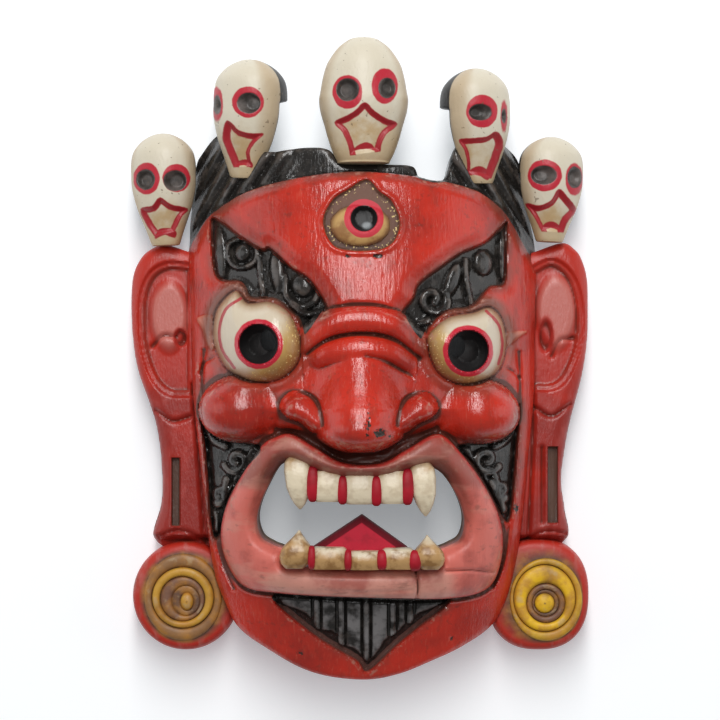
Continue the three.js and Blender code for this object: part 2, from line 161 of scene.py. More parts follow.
# Wings of the nose: a line in pixels, and the radius at its ends in millimetres.
NOSE_WINGS = [
    {"line": [(297, 409), (306, 414), (317, 423)], "radius": (10.0, 6.4)},
    {"line": [(421, 410), (413, 415), (402, 423)], "radius": (10.0, 6.4)},
]
WING_BASE = 88
WING_RISE = 13.5
NOSE_ROLLS = [
    {"line": [(304, 343), (328, 325), (360, 319.5), (394, 325), (420, 346)],
     "radius": 8.2, "lift": 8.6, "droop": 5, "blend": 3},
    {"line": [(318, 356), (336, 350), (362, 346.5), (390, 351), (408, 360)],
     "radius": 6.6, "lift": 8.6, "droop": 9, "blend": 6},
]
# Nose along its length: place, crest height, half width, and the power that rounds its section.
NOSE_BASE = 84
NOSE_PROFILE = [
    (17, 90, 24, 2.2), (6, 97, 30, 2.1), (-6, 102.5, 31, 1.9), (-18, 109, 28.5, 1.4),
    (-30, 116.5, 25.5, 0.8), (-37, 119.8, 25, 0.62), (-43, 117.5, 23.5, 0.58), (-47.5, 110, 17, 0.55),
    (-50.5, 98, 9, 0.5),
]
# Carved lines in pixels, with their depth and half width in millimetres.
WRINKLES = [
    ([(306, 354), (330, 338.5), (360, 333.5), (392, 338), (420, 358)], 2.4, 1.2),
    ([(324, 314), (340, 307), (360, 304.5), (384, 307), (402, 317)], 1.5, 1.4),
    ([(366, 356), (386, 361), (412, 376)], 1.4, 1.2),
    ([(277, 431), (300, 434), (318, 444), (340, 458), (363, 458), (386, 455), (400, 444),
      (424, 434), (437, 429)], 4.5, 2.3),
    ([(283, 404), (295, 394), (308, 395), (317, 403), (322, 414), (323, 425)], 2.0, 1.2),
    ([(435, 404), (424, 395), (411, 396), (403, 403), (398, 414), (397, 425)], 2.0, 1.2),
    ([(203, 350), (201, 372), (201, 395), (205, 440), (209, 480), (213, 530), (222, 565),
      (233, 590)], 2.4, 1.4),
    ([(520, 352), (521, 374), (521, 400), (518, 440), (514, 480), (511, 520), (505, 558),
      (494, 588)], 2.4, 1.4),
    ([(199, 374), (203, 363), (213, 357)], 1.8, 1.0),
    ([(508, 368), (514, 371), (520, 378)], 1.8, 1.0),
]
LIP_CRACKS = [
    ([(416, 572), (418, 588), (416, 602)], 2.4, 0.9),
    ([(446, 571), (470, 570), (494, 573)], 1.5, 0.9),
    ([(318, 574), (360, 575.5), (414, 574)], 0.9, 0.9),
    ([(320, 590), (360, 592), (412, 590)], 0.7, 0.9),
]
# Chips in the paint, in pixels: middles and half sizes.
CHIPS = [
    (379.5, 432, 5.0, 4.0), (368, 427, 1.3, 9.0), (378, 255.5, 5.0, 2.2), (347, 255, 2.2, 1.6),
    (517, 509, 2.0, 4.0), (389, 436, 2.0, 1.5), (300, 655, 3.0, 1.6), (452, 640, 2.2, 1.8),
]

# Curls of the carved hair in pixels: middle, radius, turns, starting angle in degrees and hand.
CURLS = [
    (433, 299, 15, 1.2, 20, -1), (236, 461, 13, 1.15, 200, 1), (218, 496, 9, 1.1, 240, 1),
    (487, 460, 14, 1.15, 330, -1), (502, 491, 9, 1.1, 300, -1),
]
CURL_HALF_WIDTH = 2.6
# Round lobes of the hair in pixels: middle, half width, half length and lean in degrees.
LOBES = [
    (241.5, 252, 9, 10, 0), (219, 254, 8, 30, 4), (277, 271, 8.5, 23, 6), (302, 285, 12, 12.5, 30),
    (484, 262, 11, 14, 0), (503.5, 256, 5, 28, 0), (453, 280, 8, 20, -22), (435, 303, 5, 6, 0),
    (232, 490, 5, 9, -30), (493, 486, 5, 9, 30),
]
# Strands in pixels, with their half widths in millimetres.
STRANDS = [
    ([(241, 237.5), (229, 243), (226.5, 254), (232, 265), (243, 267), (254, 261), (256, 249),
      (249, 239)], 1.7),
    ([(259, 256), (260, 274), (263, 297)], 2.2),
    ([(285, 276), (286, 294), (299, 306), (313, 302), (319, 290)], 2.2),
    ([(291, 304), (306, 314), (322, 311)], 1.9),
    ([(466, 260), (467, 280), (472, 304)], 2.0),
    ([(444, 292), (449, 300), (447, 311)], 2.0),
    ([(406, 316), (414, 324), (428, 320)], 2.2),
    ([(205, 428), (214, 440), (224, 446)], 2.9),
    ([(254, 452), (248, 466), (238, 482)], 3.4),
    ([(226, 480), (224, 492), (226, 506)], 2.6),
    ([(513, 428), (505, 440), (496, 446)], 2.9),
    ([(466, 452), (472, 464), (484, 482)], 3.4),
    ([(496, 478), (499, 492), (504, 510)], 2.6),
    ([(212, 512), (216, 520), (215, 530)], 2.4),
]

# Ears: edge in millimetres; groove, folds, creases and slot in pixels, folds with half widths and heights.
EARS = [
    {"name": "left_ear",
     "edge": [(-88, 60), (-98, 63), (-111, 67), (-120, 64), (-126, 58), (-130, 48), (-131, 32),
              (-130, 12), (-127, -6), (-120, -26), (-116, -40), (-113.5, -60), (-113.5, -82),
              (-118, -104), (-100, -112), (-84, -104)],
     "groove": [(188, 269), (168, 268), (153, 277), (145, 298), (144, 330), (148, 355), (157, 378),
                (170, 390), (188, 391)],
     "pad": (169, 316, 19, 37), "canal": (180, 338, 6, 9), "slot": (175.5, 492, 4, 34),
     "creases": [
         [(152, 346), (163, 336), (174, 337)],
         [(156, 411), (172, 421), (190, 417)],
         [(158, 537), (180, 531), (206, 541)],
         [(192, 385), (197, 440), (205, 545)],
     ]},
    {"name": "right_ear",
     "edge": [(87, 60), (97, 62), (115, 68), (123, 64), (127, 58), (130, 47), (130.5, 30),
              (130, 11), (127, -9), (120.5, -34), (117.5, -49), (115, -69), (117, -86),
              (118.5, -104), (100, -112), (84, -104)],
     "groove": [(535, 272), (553, 265), (570, 280), (578, 310), (576, 344), (565, 373), (553, 384),
                (535, 385)],
     "pad": (556, 312, 20, 39), "canal": (546, 336, 7, 17), "slot": (553, 485, 5, 38),
     "creases": [
         [(552, 356), (560, 341), (573, 338)],
         [(535, 408), (552, 416), (570, 405)],
         [(524, 541), (545, 532), (566, 534)],
         [(533, 385), (533, 430), (528, 540)],
         [(542, 448), (542, 522)],
     ]},
]
EAR_TOP = 30
EAR_BACK = 7
EAR_FOOT = (-99, -104)
EAR_STEPS = ((4.4, 2.4, 1.9), (0.9, -0.9, 2.3))
EAR_PIXEL = 0.57

# Earrings in pixels: the disc, and the edges of the rosette's rings from the outside in.
EARRINGS = [
    {"name": "left_earring", "disc": (186, 595.5, 53.5, 54.5), "bright": False, "corner": 1.0,
     "rings": [(183, 597, 39, 43.5), (183, 597.5, 31, 30.5), (182.5, 598.7, 22.3, 22.3),
               (186, 600.5, 14, 15), (187, 601.4, 6.5, 9)]},
    {"name": "right_earring", "disc": (538, 594.5, 51, 55.5), "bright": True, "corner": 0.84,
     "rings": [(546, 599.6, 36.3, 41.5), (544.5, 598, 31, 33.5), (545.8, 603, 19.2, 19.6),
               (545.5, 603, 13.5, 13.5), (544.5, 603, 10, 10)]},
]
EARRING_TOP = 31
EARRING_BACK = 7

# Skulls of the crown. Middle, width, height, turn and lean in millimetres and degrees; sockets and their
# painted rings as middles and half sizes, and the edges of the sunk star and of the mouth, in pixels.
SKULLS = [
    {"name": "far_left_skull", "middle": (-111.5, 97, 31),
     "width": 37, "height": 64, "turn": -8, "lean": 2, "long": False,
     "sockets": [(145.5, 179.5, 9.5, 10.5), (175, 180.6, 11.8, 10.6)],
     "rings": [(146.5, 178.6, 13.2, 16), (176.5, 178, 14, 14)],
     "star": [(155, 236), (146, 223), (141, 209.5), (152, 206), (160, 198), (171, 205), (187, 209),
              (181, 217), (174, 232)],
     "mouth": [(155, 239), (157, 230), (166, 227.5), (176, 231), (175, 238), (165, 235)]},
    {"name": "left_skull", "middle": (-63, 135.5, 47),
     "width": 42, "height": 67, "turn": -38, "lean": -3, "long": False,
     "sockets": [(217, 105, 4, 10), (248.5, 103, 12, 10.5)],
     "rings": [(217, 104, 6, 17), (248, 102, 16, 15.5)],
     "star": [(234, 167), (227, 150), (223, 137), (227, 121), (239, 131), (252, 134), (263, 134),
              (254, 143), (249, 153), (252, 166)],
     "mouth": [(233, 167), (236, 161), (244, 159), (252, 162), (252, 168), (243, 165)]},
    {"name": "middle_skull", "middle": (2, 144, 64),
     "width": 49.5, "height": 71, "turn": 3, "lean": 0, "long": True,
     "sockets": [(347.6, 89.6, 11.6, 11.6), (387, 88, 8.8, 10.4)],
     "rings": [(347.4, 92, 15, 17), (384.8, 86, 13.2, 17.8)],
     "star": [(350.5, 155), (348.5, 145), (343, 132), (335, 122.5), (347, 116), (356, 110.5),
              (365, 102.6), (374, 111), (385, 118.5), (397, 124), (386, 134), (381, 144),
              (380, 151)],
     "mouth": [(353, 151), (357, 145.5), (365, 142), (372, 144), (376.5, 151), (370, 149),
               (360, 149)]},
    {"name": "right_skull", "middle": (66, 131.5, 47),
     "width": 40, "height": 65, "turn": 44, "lean": 2, "long": False,
     "sockets": [(480.6, 112.1, 11.8, 8.5), (504, 115.8, 2.6, 7.3)],
     "rings": [(482, 111.2, 15.8, 16.7), (504, 116.6, 3.5, 16)],
     "star": [(467, 174), (467.6, 162), (465, 150), (459.7, 140), (474, 138.5), (487, 137),
              (496.6, 132.1), (502.7, 142.4), (499, 157), (491, 178)],
     "mouth": [(470, 174), (475, 168), (483, 166), (491, 171), (488, 180), (480, 176)]},
    {"name": "far_right_skull", "middle": (108.5, 97, 31),
     "width": 37, "height": 60, "turn": 20, "lean": -2, "long": False,
     "sockets": [(543.9, 175.1, 13.3, 9.7), (574.8, 177.5, 7.3, 10.9)],
     "rings": [(544.8, 175.4, 17.3, 16), (574.3, 179.4, 8.6, 16.4)],
     "star": [(542, 231), (534, 216), (526, 204), (539, 206), (551, 201), (559, 189.7), (567, 197),
              (576, 210), (568, 220), (563, 232)],
     "mouth": [(542, 231), (545, 224), (553, 221), (561, 225), (562, 231), (552, 228)]},
]
# Half width at each height from the crown of the skull to its jaw, as shares of its width and height.
ROUND_SKULL = [
    (0, 0.5), (0.13, 0.488), (0.27, 0.45), (0.375, 0.4), (0.46, 0.33), (0.495, 0.24), (0.5, 0.12),
    (0.495, 0.03), (0.47, -0.06), (0.42, -0.17), (0.37, -0.25), (0.31, -0.34), (0.26, -0.42),
    (0.22, -0.485), (0.18, -0.5), (0, -0.5),
]
LONG_SKULL = [
    (0, 0.5), (0.13, 0.486), (0.21, 0.455), (0.285, 0.413), (0.36, 0.345), (0.42, 0.27), (0.46, 0.17),
    (0.485, 0.07), (0.5, 0), (0.485, -0.09), (0.44, -0.2), (0.4, -0.3), (0.35, -0.4), (0.3, -0.47),
    (0.26, -0.495), (0, -0.5),
]
SKULL_FRONT = 0.86
SKULL_BACK = (0.5, 1.08)
SKULL_FLANGE = (0.13, 0.17)
SKULL_PIXEL = 0.55
STAR_BAND = 2.9

# Teeth in pixels: middles of the gum line and the biting edge, and half width; gaps as middle, half height
# and half width.
UPPER_TEETH = [
    ((327.5, 471), (327.5, 502), 15),
    ((359.5, 474), (360, 504.5), 17),
    ((392, 471), (392.5, 504), 15.5),
]
UPPER_FANGS = [((297, 456), (300, 510), 15.4), ((421.7, 462), (426, 517), 14.6)]
UPPER_GAPS = [(312.5, 484, 18.5, 5.6), (342.5, 490, 15, 5.0), (376.5, 491, 15.5, 5.4),
              (407.5, 487, 18.5, 5.8)]
LOWER_TEETH = [
    ((329.5, 569.5), (329, 548), 18.2),
    ((364.5, 570), (365, 551.5), 16.2),
    ((398.5, 569.5), (398, 549), 16.2),
]
LOWER_FANGS = [((294, 569), (299, 531), 16.6), ((430.5, 570), (427.5, 536), 15.8)]
LOWER_GAPS = [(311.5, 558, 12, 3.6), (348, 560.5, 10.5, 3.6), (382, 560.5, 10, 5),
              (415, 561, 10.5, 5.8)]
TOOTH_FRONT = 93
TOOTH_DEPTH = 10
TOOTH_PIXEL = 0.545
# Width of a tooth along its length, as shares of both.
INCISOR_TAPER = [(0, 1), (0.8, 1), (0.92, 0.95), (1, 0.8)]
UPPER_FANG_TAPER = [(0, 0.55), (0.12, 0.86), (0.3, 0.92), (0.6, 0.82), (0.78, 0.6), (0.91, 0.34),
                    (1, 0.06)]
LOWER_FANG_TAPER = [(0, 0.55), (0.12, 0.84), (0.3, 1), (0.48, 0.95), (0.6, 0.78), (0.75, 0.48),
                    (0.9, 0.2), (1, 0.04)]
TONGUE = {"left": (312, 549), "tip": (362, 516), "right": (408, 549), "top": 80, "foot": 60}

# The sight holes slant in and up from the pupils, as in the solid, and widen behind a waist: shift and
# growth for each millimetre down.
BORE_FRONT = 96
BORE_SLANT = (0.452, 0.176)
BORE_WAIST = 76
BORE_GROWTH = 0.117


# Heights of outlines over the dome, and depths and rises of the carving, in millimetres.
BLOCK_FOOT = -20
CUT_FOOT = -10
HOLLOW_END = 104
BLOCK_TOP = 200
MOUTH_LIFT = 6
PUPIL_LIFT = 20
EYE_SPAN = 24
BROW_DEPTH = 6
BURN_DEPTH = 5.5
LID_DEPTH = 2.8
STRAND_SHARE = 0.8
EYE_RIM = 2.0
CORNER_RISE = 1.6
EYE_BASE = 0.6
EYE_RISE = 17.3
EYE_REACH = 22
EYE_ROUNDNESS = 0.58
PUPIL_STEP = 3.2
PUPIL_DEPTH = 11
THIRD_DEPTH = 2.4
THIRD_RIM = 0.8
THIRD_RISE = 5.5
THIRD_PUPIL_DEPTH = 7
LIP_GROOVE = 2.4
INNER_LIP_FALL = 2.5
LIP_BASE = 0.5
BEARD_DEPTH = 8
PLEAT_RISE = 2.2
PLEAT_RELIEF = 1.6
CHIP_DEPTH = 0.7
COMB_RISE = 3.4
COMB_SPACING = 8.5
HAIRLINE_FALL = 3.5
HAIRLINE_STEP = 4.5
SOCKET_DEPTH = 4.5
STAR_DEPTH = 1.9
EAR_RIM_FALL = 7
EAR_RIM_WIDTH = 9
EAR_FOOT_FALL = 8
PAD_RISE = 2.8
CANAL_DEPTH = 3.5
SLOT_DEPTH = 3.2
CREASE_DEPTH = 2.0
CREASE_WIDTH = 1.3
GAP_DEPTH = 5.5
GAP_RISE = 5.6
GAP_WIDENING = 1.15

# Size of the lower edge of straight sides, as a share of the upper.
HEAD_DRAFT = 0.985
MOUTH_DRAFT = 0.97
EAR_DRAFT = 0.98

# Points in a ring, and rings along a tooth or a gap.
BORE_POINTS = 40
EARRING_POINTS = 120
SKULL_POINTS = 240
TOOTH_POINTS = 48
TOOTH_RINGS = 36
GAP_POINTS = 28
GAP_RINGS = 24

# The stage, in metres: floor, and the places and sizes of the lamps.
FLOOR_SPAN = 12.0
FLOOR_TINT = (0.84, 0.93, 1.0)
FRONT_LAMP = ((0.0, 0.95, 1.45), (0.36, 2.2))
LEFT_LAMP = ((-1.3, 0.15, 0.55), (1.1, 1.1))
RIGHT_LAMP = ((1.3, 0.15, 0.55), (1.1, 1.1))

# Tones that are mixed for one place only.
TONES = {
    "fresh red": (0.56, 0.055, 0.026),
    "brown red": (0.17, 0.035, 0.02),
    "red speckle": (0.13, 0.024, 0.016),
    "pale streak": (0.62, 0.13, 0.08),
    "smudge": (0.12, 0.045, 0.032),
    "low lip": (0.66, 0.32, 0.25),
    # Painted shade on the inner edge of the top lip.
    "inner lip painted shade": (0.3, 0.09, 0.075),
    # Painted shadow of the nose over the whole top lip.
    "upper lip painted shadow": (0.27, 0.075, 0.052),
    "lip patch": (0.36, 0.06, 0.045),
    "pale lip": (0.62, 0.29, 0.22),
    "lip scratch": (0.2, 0.07, 0.05),
    "lip edge": (0.5, 0.035, 0.028),
    "eye corner": (0.58, 0.2, 0.13),
    # Brown round the eyes, deepened above and outward as painted shade.
    "eyelid brown and painted shade": (0.16, 0.062, 0.038),
    "eye white": (0.63, 0.54, 0.41),
    "eye ochre": (0.5, 0.31, 0.09),
    "eye brown": (0.34, 0.16, 0.04),
    "eye shade": (0.36, 0.21, 0.09),
    "eye edge": (0.22, 0.1, 0.045),
    "vein": (0.42, 0.05, 0.055),
    "third ground": (0.13, 0.05, 0.026),
    "third ball": (0.5, 0.3, 0.1),
    "third shade": (0.3, 0.14, 0.04),
    "rubbed edge": (0.46, 0.22, 0.16),
    "chip": (0.03, 0.018, 0.013),
    "gilt speck": (0.72, 0.55, 0.22),
    "iris": (0.56, 0.02, 0.04),
    "pupil": (0.006, 0.005, 0.005),
    # Painted reflection of light in the third eye's pupil.
    "painted_glint": (0.3, 0.32, 0.33),
    "hair dust": (0.09, 0.075, 0.065),
    # Hair ridges paled by wear and painted highlight; beard flats greyed by dust and painted sheen.
    "hair wear and painted highlight": (0.14, 0.115, 0.1),
    "beard pad dust and painted sheen": (0.21, 0.2, 0.2),
    "beard ledge": (0.13, 0.06, 0.048),
    "dark wood": (0.1, 0.05, 0.022),
    "ear streak": (0.42, 0.06, 0.05),
    "ear fold": (0.54, 0.17, 0.14),
    "ear canal": (0.46, 0.03, 0.02),
    "ear trough": (0.16, 0.055, 0.04),
    "ear slot": (0.11, 0.055, 0.037),
    "earring orange": (0.46, 0.2, 0.025),
    "earring stroke": (0.46, 0.12, 0.1),
    "earring brown": (0.13, 0.055, 0.025),
    "earring scratch": (0.5, 0.38, 0.22),
    "rosette groove": (0.11, 0.05, 0.028),
    "left gold": (0.56, 0.3, 0.03),
    "left dull gold": (0.27, 0.13, 0.045),
    "right dull gold": (0.62, 0.36, 0.02),
    "skull jaw": (0.52, 0.38, 0.2),
    # Browner towards the sides of each skull: painted shade.
    "skull side painted shade": (0.42, 0.27, 0.12),
    "skull speck": (0.14, 0.09, 0.05),
    "star ground": (0.44, 0.27, 0.1),
    "star edge": (0.36, 0.012, 0.02),
    "socket": (0.04, 0.034, 0.03),
    "socket dust": (0.13, 0.11, 0.1),
    "tooth": (0.8, 0.69, 0.5),
    "tooth dirt": (0.13, 0.06, 0.025),
    "tooth stain": (0.22, 0.1, 0.025),
    "gap": (0.42, 0.008, 0.022),
    "gap shade": (0.24, 0.008, 0.013),
    "tongue top": (0.48, 0.012, 0.034),
    # Darker sides of the tongue: painted shade.
    "tongue side painted shade": (0.15, 0.01, 0.018),
    "tongue shade": (0.12, 0.008, 0.012),
    "floor": (0.9, 0.9, 0.9),
}


class MaskSizes(PropertyGroup):
    """Sizes of the carving that a user may change."""

    carving_step: FloatProperty(
        name="Carving step", description="Spacing of the carved surface's grid",
        default=0.8 * MM, unit="LENGTH")
    hair_relief: FloatProperty(
        name="Hair relief", description="Height of the carved lobes and strands of hair",
        default=5.2 * MM, unit="LENGTH")
    lip_height: FloatProperty(
        name="Lip height", description="How far the lips stand out of the face",
        default=12 * MM, unit="LENGTH")
    sight_hole: FloatProperty(
        name="Sight hole", description="Radius of the holes bored through the pupils",
        default=6.5 * MM, unit="LENGTH")


def colour_property(name, description, default):
    return FloatVectorProperty(
        name=name, description=description, default=default, subtype="COLOR", size=3, min=0, max=1)


class MaskPaint(PropertyGroup):
    """Colours of the paint, the brown wash and the bare wood."""

    red: colour_property("Red", "Paint of the face", (0.56, 0.026, 0.011))
    dark_red: colour_property("Dark red", "Thicker and darker paint of the face", (0.27, 0.0165, 0.01))
    lip: colour_property("Lip", "Paint of the lips", (0.66, 0.15, 0.115))
    black: colour_property("Black", "Paint of the hair", (0.016, 0.014, 0.0125))
    cream: colour_property("Cream", "Paint of skulls and teeth", (0.65, 0.59, 0.465))
    ochre: colour_property("Ochre", "Glaze on eyes, teeth and jaws", (0.46, 0.25, 0.08))
    crimson: colour_property("Crimson", "Painted lines, irises and tongue", (0.48, 0.012, 0.03))
    wash: colour_property("Wash", "Brown wash that stays in the hollows", (0.062, 0.022, 0.013))
    yellow: colour_property("Yellow", "Paint of the right earring", (0.82, 0.49, 0.012))
    wood: colour_property("Wood", "Bare wood behind", (0.2, 0.105, 0.05))


class StageLook(PropertyGroup):
    """Camera and light."""

    camera_height: FloatProperty(
        name="Camera height", description="Camera over the rim", default=CAMERA_HEIGHT * MM, unit="LENGTH")
    lens: FloatProperty(
        name="Lens", description="Focal length in millimetres",
        default=36 * CAMERA_HEIGHT * PHOTO_SCALE / (2 * PHOTO_MIDDLE))
    front_power: FloatProperty(
        name="Front light", description="Power of the soft light over the face", default=26)
    side_power: FloatProperty(
        name="Side lights", description="Power of each soft light at the sides", default=3)
    sky: FloatProperty(name="Sky", description="Strength of the even light", default=0.22)
    floor_glow: FloatProperty(
        name="Floor glow", description="Light that the floor itself gives", default=0.28)


def dome(x, y):
    """Bare face: a dome that falls with |x| to the power 2.5 at the sides and with y squared at both ends."""
    along = y - DOME_MIDDLE_Y
    end = np.where(along > 0, CROWN_FALL * (along / CROWN_REACH) ** 2, CHIN_FALL * (along / CHIN_REACH) ** 2)
    return DOME_TOP - SIDE_FALL * np.abs(x / FACE_HALF_WIDTH) ** 2.5 - end


def hair_surface(x):
    """Ground of the hair: highest at the middle, falling with x squared."""
    return HAIR_TOP - HAIR_FALL * (x / HAIR_HALF_WIDTH) ** 2


def ease(start, end, value):
    """Smooth step from 0 at start to 1 at end, in either direction."""
    t = np.clip((value - start) / (end - start), 0, 1)
    return t * t * (3 - 2 * t)


def bell(value, width):
    """Gaussian hump of height 1."""
    return np.exp(-((value / width) ** 2))


def arch(distance, half_width):
    """Round ridge: the upper half of an ellipse over a line."""
    return np.sqrt(np.clip(1 - (distance / half_width) ** 2, 0, 1))


def soft_max(a, b, blend):
    """The higher of two surfaces, with their crease filled over the blend height."""
    near = np.clip(0.5 + 0.5 * (a - b) / blend, 0, 1)
    return b + (a - b) * near + blend * near * (1 - near)


def at_height(pixels, height):
    """Millimetre places of photograph pixels that lie at a height."""
    pixels = np.asarray(pixels, float)
    share = (CAMERA_HEIGHT - np.asarray(height, float)) / (PHOTO_SCALE * CAMERA_HEIGHT)
    x, y = pixels[..., 0] - PHOTO_MIDDLE, PHOTO_MIDDLE - pixels[..., 1]
    return np.stack([x * share, y * share], axis=-1)


def on_surface(pixels, surface, lift=0):
    """Millimetre places of photograph pixels on a surface: the height settles in a few rounds."""
    height = np.full(len(pixels), 60.0)
    for _ in range(4):
        place = at_height(pixels, height)
        height = surface(place[:, 0], place[:, 1]) + lift
    return place


def on_face(pixels, lift=0):
    """Places on the bare dome of the face, or a lift above it."""
    return on_surface(pixels, dome, lift)


def on_edge(pixels):
    """Places on the head's rim, where the hair lies lower than the face would."""
    return on_surface(pixels, lambda x, y: np.where(y > 60, hair_surface(x), dome(x, y)), -EDGE_ROUND)


def smooth_line(points, steps=6, closed=True):
    """Catmull-Rom curve through the points."""
    p = np.asarray(points, float)
    if closed:
        corners = [np.roll(p, shift, axis=0) for shift in (1, 0, -1, -2)]
    else:
        padded = np.vstack([2 * p[0] - p[1], p, 2 * p[-1] - p[-2]])
        corners = [padded[:-3], padded[1:-2], padded[2:-1], padded[3:]]
    a, b, c, d = (corner[:, None, :] for corner in corners)
    t = (np.arange(steps) / steps)[None, :, None]
    run = 0.5 * (2 * b + (c - a) * t + (2 * a - 5 * b + 4 * c - d) * t**2 + (3 * b - a - 3 * c + d) * t**3)
    run = run.reshape(-1, p.shape[1])
    return run if closed else np.vstack([run, p[-1]])


def line_distance(line, x, y, closed=False, reach=40):
    """Distance from each point to a run of straight stretches; signed, negative inside, if it is closed.

    Points further than reach from the run's box keep the reach as their distance.
    """
    low, high = line.min(axis=0) - reach, line.max(axis=0) + reach
    near = (x > low[0]) & (x < high[0]) & (y > low[1]) & (y < high[1])
    px, py = x[near], y[near]
    best = np.full(px.shape, float(reach) ** 2)
    inside = np.zeros(px.shape, bool)
    ends = np.roll(line, -1, axis=0) if closed else line[1:]
    for (ax, ay), (bx, by) in zip(line, ends):
        ex, ey = bx - ax, by - ay
        t = np.clip(((px - ax) * ex + (py - ay) * ey) / (ex * ex + ey * ey + 1e-12), 0, 1)
        best = np.minimum(best, (px - ax - t * ex) ** 2 + (py - ay - t * ey) ** 2)
        if closed and ay != by:
            inside ^= ((ay > py) != (by > py)) & (px < ex * (py - ay) / ey + ax)
    distance = np.full(x.shape, float(reach))
    distance[near] = np.where(inside, -1, 1) * np.sqrt(best)
    return distance


def nearest(distances):
    """Least of several distances at each place."""
    return np.minimum.reduce(list(distances))


def spiral(middle_x, middle_y, radius, turns, start, hand):
    """Curl in pixels: a spiral that winds in from its radius to a fifth of it."""
    t = np.linspace(0, 1, 26)
    angle = np.radians(start) + hand * 2 * np.pi * turns * t
    reach = radius * (1 - 0.8 * t)
    return np.column_stack([middle_x + reach * np.cos(angle), middle_y - reach * np.sin(angle)])


def blurred(grid, cells):
    """Grid averaged three times over a square window, close to a Gaussian blur."""
    for _ in range(3):
        for axis in (0, 1):
            pad = [(0, 0), (0, 0)]
            pad[axis] = (cells + 1, cells)
            total = np.cumsum(np.pad(grid, pad, mode="edge"), axis=axis)
            low, high = [slice(None)] * 2, [slice(None)] * 2
            low[axis], high[axis] = slice(0, -2 * cells - 1), slice(2 * cells + 1, None)
            grid = (total[tuple(high)] - total[tuple(low)]) / (2 * cells + 1)
    return grid


class Grid:
    """An even grid of places over a box, with heights and named fields, and its reading between places."""

    def __init__(self, low, high, step):
        self.low, self.step = np.array(low, float), step
        columns, rows = (np.ceil((np.array(high) - self.low) / step).astype(int) + 1)
        self.x, self.y = np.meshgrid(low[0] + step * np.arange(columns), low[1] + step * np.arange(rows))
        self.fields = {}
        self.z = np.zeros(self.x.shape)

    def read(self, values, x, y):
        """Value at any place, linear between the four grid places round it."""
        rows, columns = values.shape
        u = np.clip((x - self.low[0]) / self.step, 0, columns - 1.001)
        v = np.clip((y - self.low[1]) / self.step, 0, rows - 1.001)
        i, j = u.astype(int), v.astype(int)
        s, t = u - i, v - j
        lower = values[j, i] * (1 - s) + values[j, i + 1] * s
        upper = values[j + 1, i] * (1 - s) + values[j + 1, i + 1] * s
        return lower * (1 - t) + upper * t

    def note_hollows(self):
        """How far each place lies under its surroundings: fine for grooves, broad for whole sunk parts."""
        self.fields["groove"] = blurred(self.z, max(1, round(1.6 / self.step))) - self.z
        self.fields["sunk"] = blurred(self.z, max(1, round(5 / self.step))) - self.z
        self.fields["front"] = self.z


def new_object(name, points, faces):
    """Object from millimetre points: they are moved to the solid's frame and written in metres."""
    mesh = bpy.data.meshes.new(name)
    mesh.from_pydata(((points + FRAME_SHIFT) * MM).tolist(), [], [list(map(int, face)) for face in faces])
    mesh.update()
    piece = bpy.data.objects.new(name, mesh)
    bpy.context.scene.collection.objects.link(piece)
    return piece


def grid_faces(rows, columns, wrap=False):
    """Quads between the rows and columns of a grid, closed round the columns if wrapped."""
    j, i = np.meshgrid(np.arange(rows - 1), np.arange(columns if wrap else columns - 1), indexing="ij")
    right = (i + 1) % columns
    corners = [j * columns + i, j * columns + right, (j + 1) * columns + right, (j + 1) * columns + i]
    return np.stack(corners, -1).reshape(-1, 4)


def relief_block(grid, floor):
    """Closed block: the grid's heights on top, straight sides, and a fan from one point below."""
    rows, columns = grid.x.shape
    index = np.arange(rows * columns).reshape(rows, columns)
    rim = np.concatenate([index[0, :-1], index[:-1, -1], index[-1, :0:-1], index[:0:-1, 0]])
    top = np.column_stack([grid.x.ravel(), grid.y.ravel(), grid.z.ravel()])
    foot = top[rim].copy()
    foot[:, 2] = floor
    middle = np.append(foot[:, :2].mean(axis=0), floor)[None]
    lower = len(top) + np.arange(len(rim))
    sides = np.column_stack([rim, lower, np.roll(lower, -1), np.roll(rim, -1)])
    fan = np.column_stack([lower, np.full(len(rim), len(top) + len(rim)), np.roll(lower, -1)])
    faces = [*grid_faces(rows, columns), *sides, *fan]
    return new_object("relief", np.vstack([top, foot, middle]), faces)


def prism(edge, low, high, low_share=1.0):
    """Straight-sided body over a counter-clockwise edge, its lower end drawn in by a share."""
    count = len(edge)
    lower = edge.mean(axis=0) + (edge - edge.mean(axis=0)) * low_share
    points = np.vstack([np.column_stack([lower, np.full(count, low)]),
                        np.column_stack([edge, np.full(count, high)])])
    i = np.arange(count)
    j = (i + 1) % count
    sides = np.column_stack([i, j, j + count, i + count])
    return new_object("prism", points, [i[::-1], i + count, *sides])


def ring_body(rings):
    """Closed body from rings of points, first ring to last, with the two end rings closed flat."""
    count = rings.shape[1]
    last = (len(rings) - 1) * count
    faces = [*grid_faces(len(rings), count, wrap=True), np.arange(count)[::-1], last + np.arange(count)]
    return new_object("rings", rings.reshape(-1, 3), faces)


def counter_clockwise(edge):
    """The same closed line, turned round if its signed area is negative."""
    x, y = edge.T
    area = np.sum(x * np.roll(y, -1) - np.roll(x, -1) * y)
    return edge if area > 0 else edge[::-1]


def combine(piece, tool, operation):
    """Cuts a piece with a tool or keeps their common part, and removes the tool."""
    modifier = piece.modifiers.new(operation, "BOOLEAN")
    modifier.operation = operation
    modifier.solver = "MANIFOLD"
    modifier.object = tool
    bpy.context.view_layer.update()
    made = bpy.data.meshes.new_from_object(piece.evaluated_get(bpy.context.evaluated_depsgraph_get()))
    piece.modifiers.clear()
    spent = piece.data
    piece.data = made
    bpy.data.meshes.remove(spent)
    bpy.data.objects.remove(tool)
    if not made.polygons:
        raise RuntimeError(f"nothing is left of {piece.name} after {operation}")
    return piece


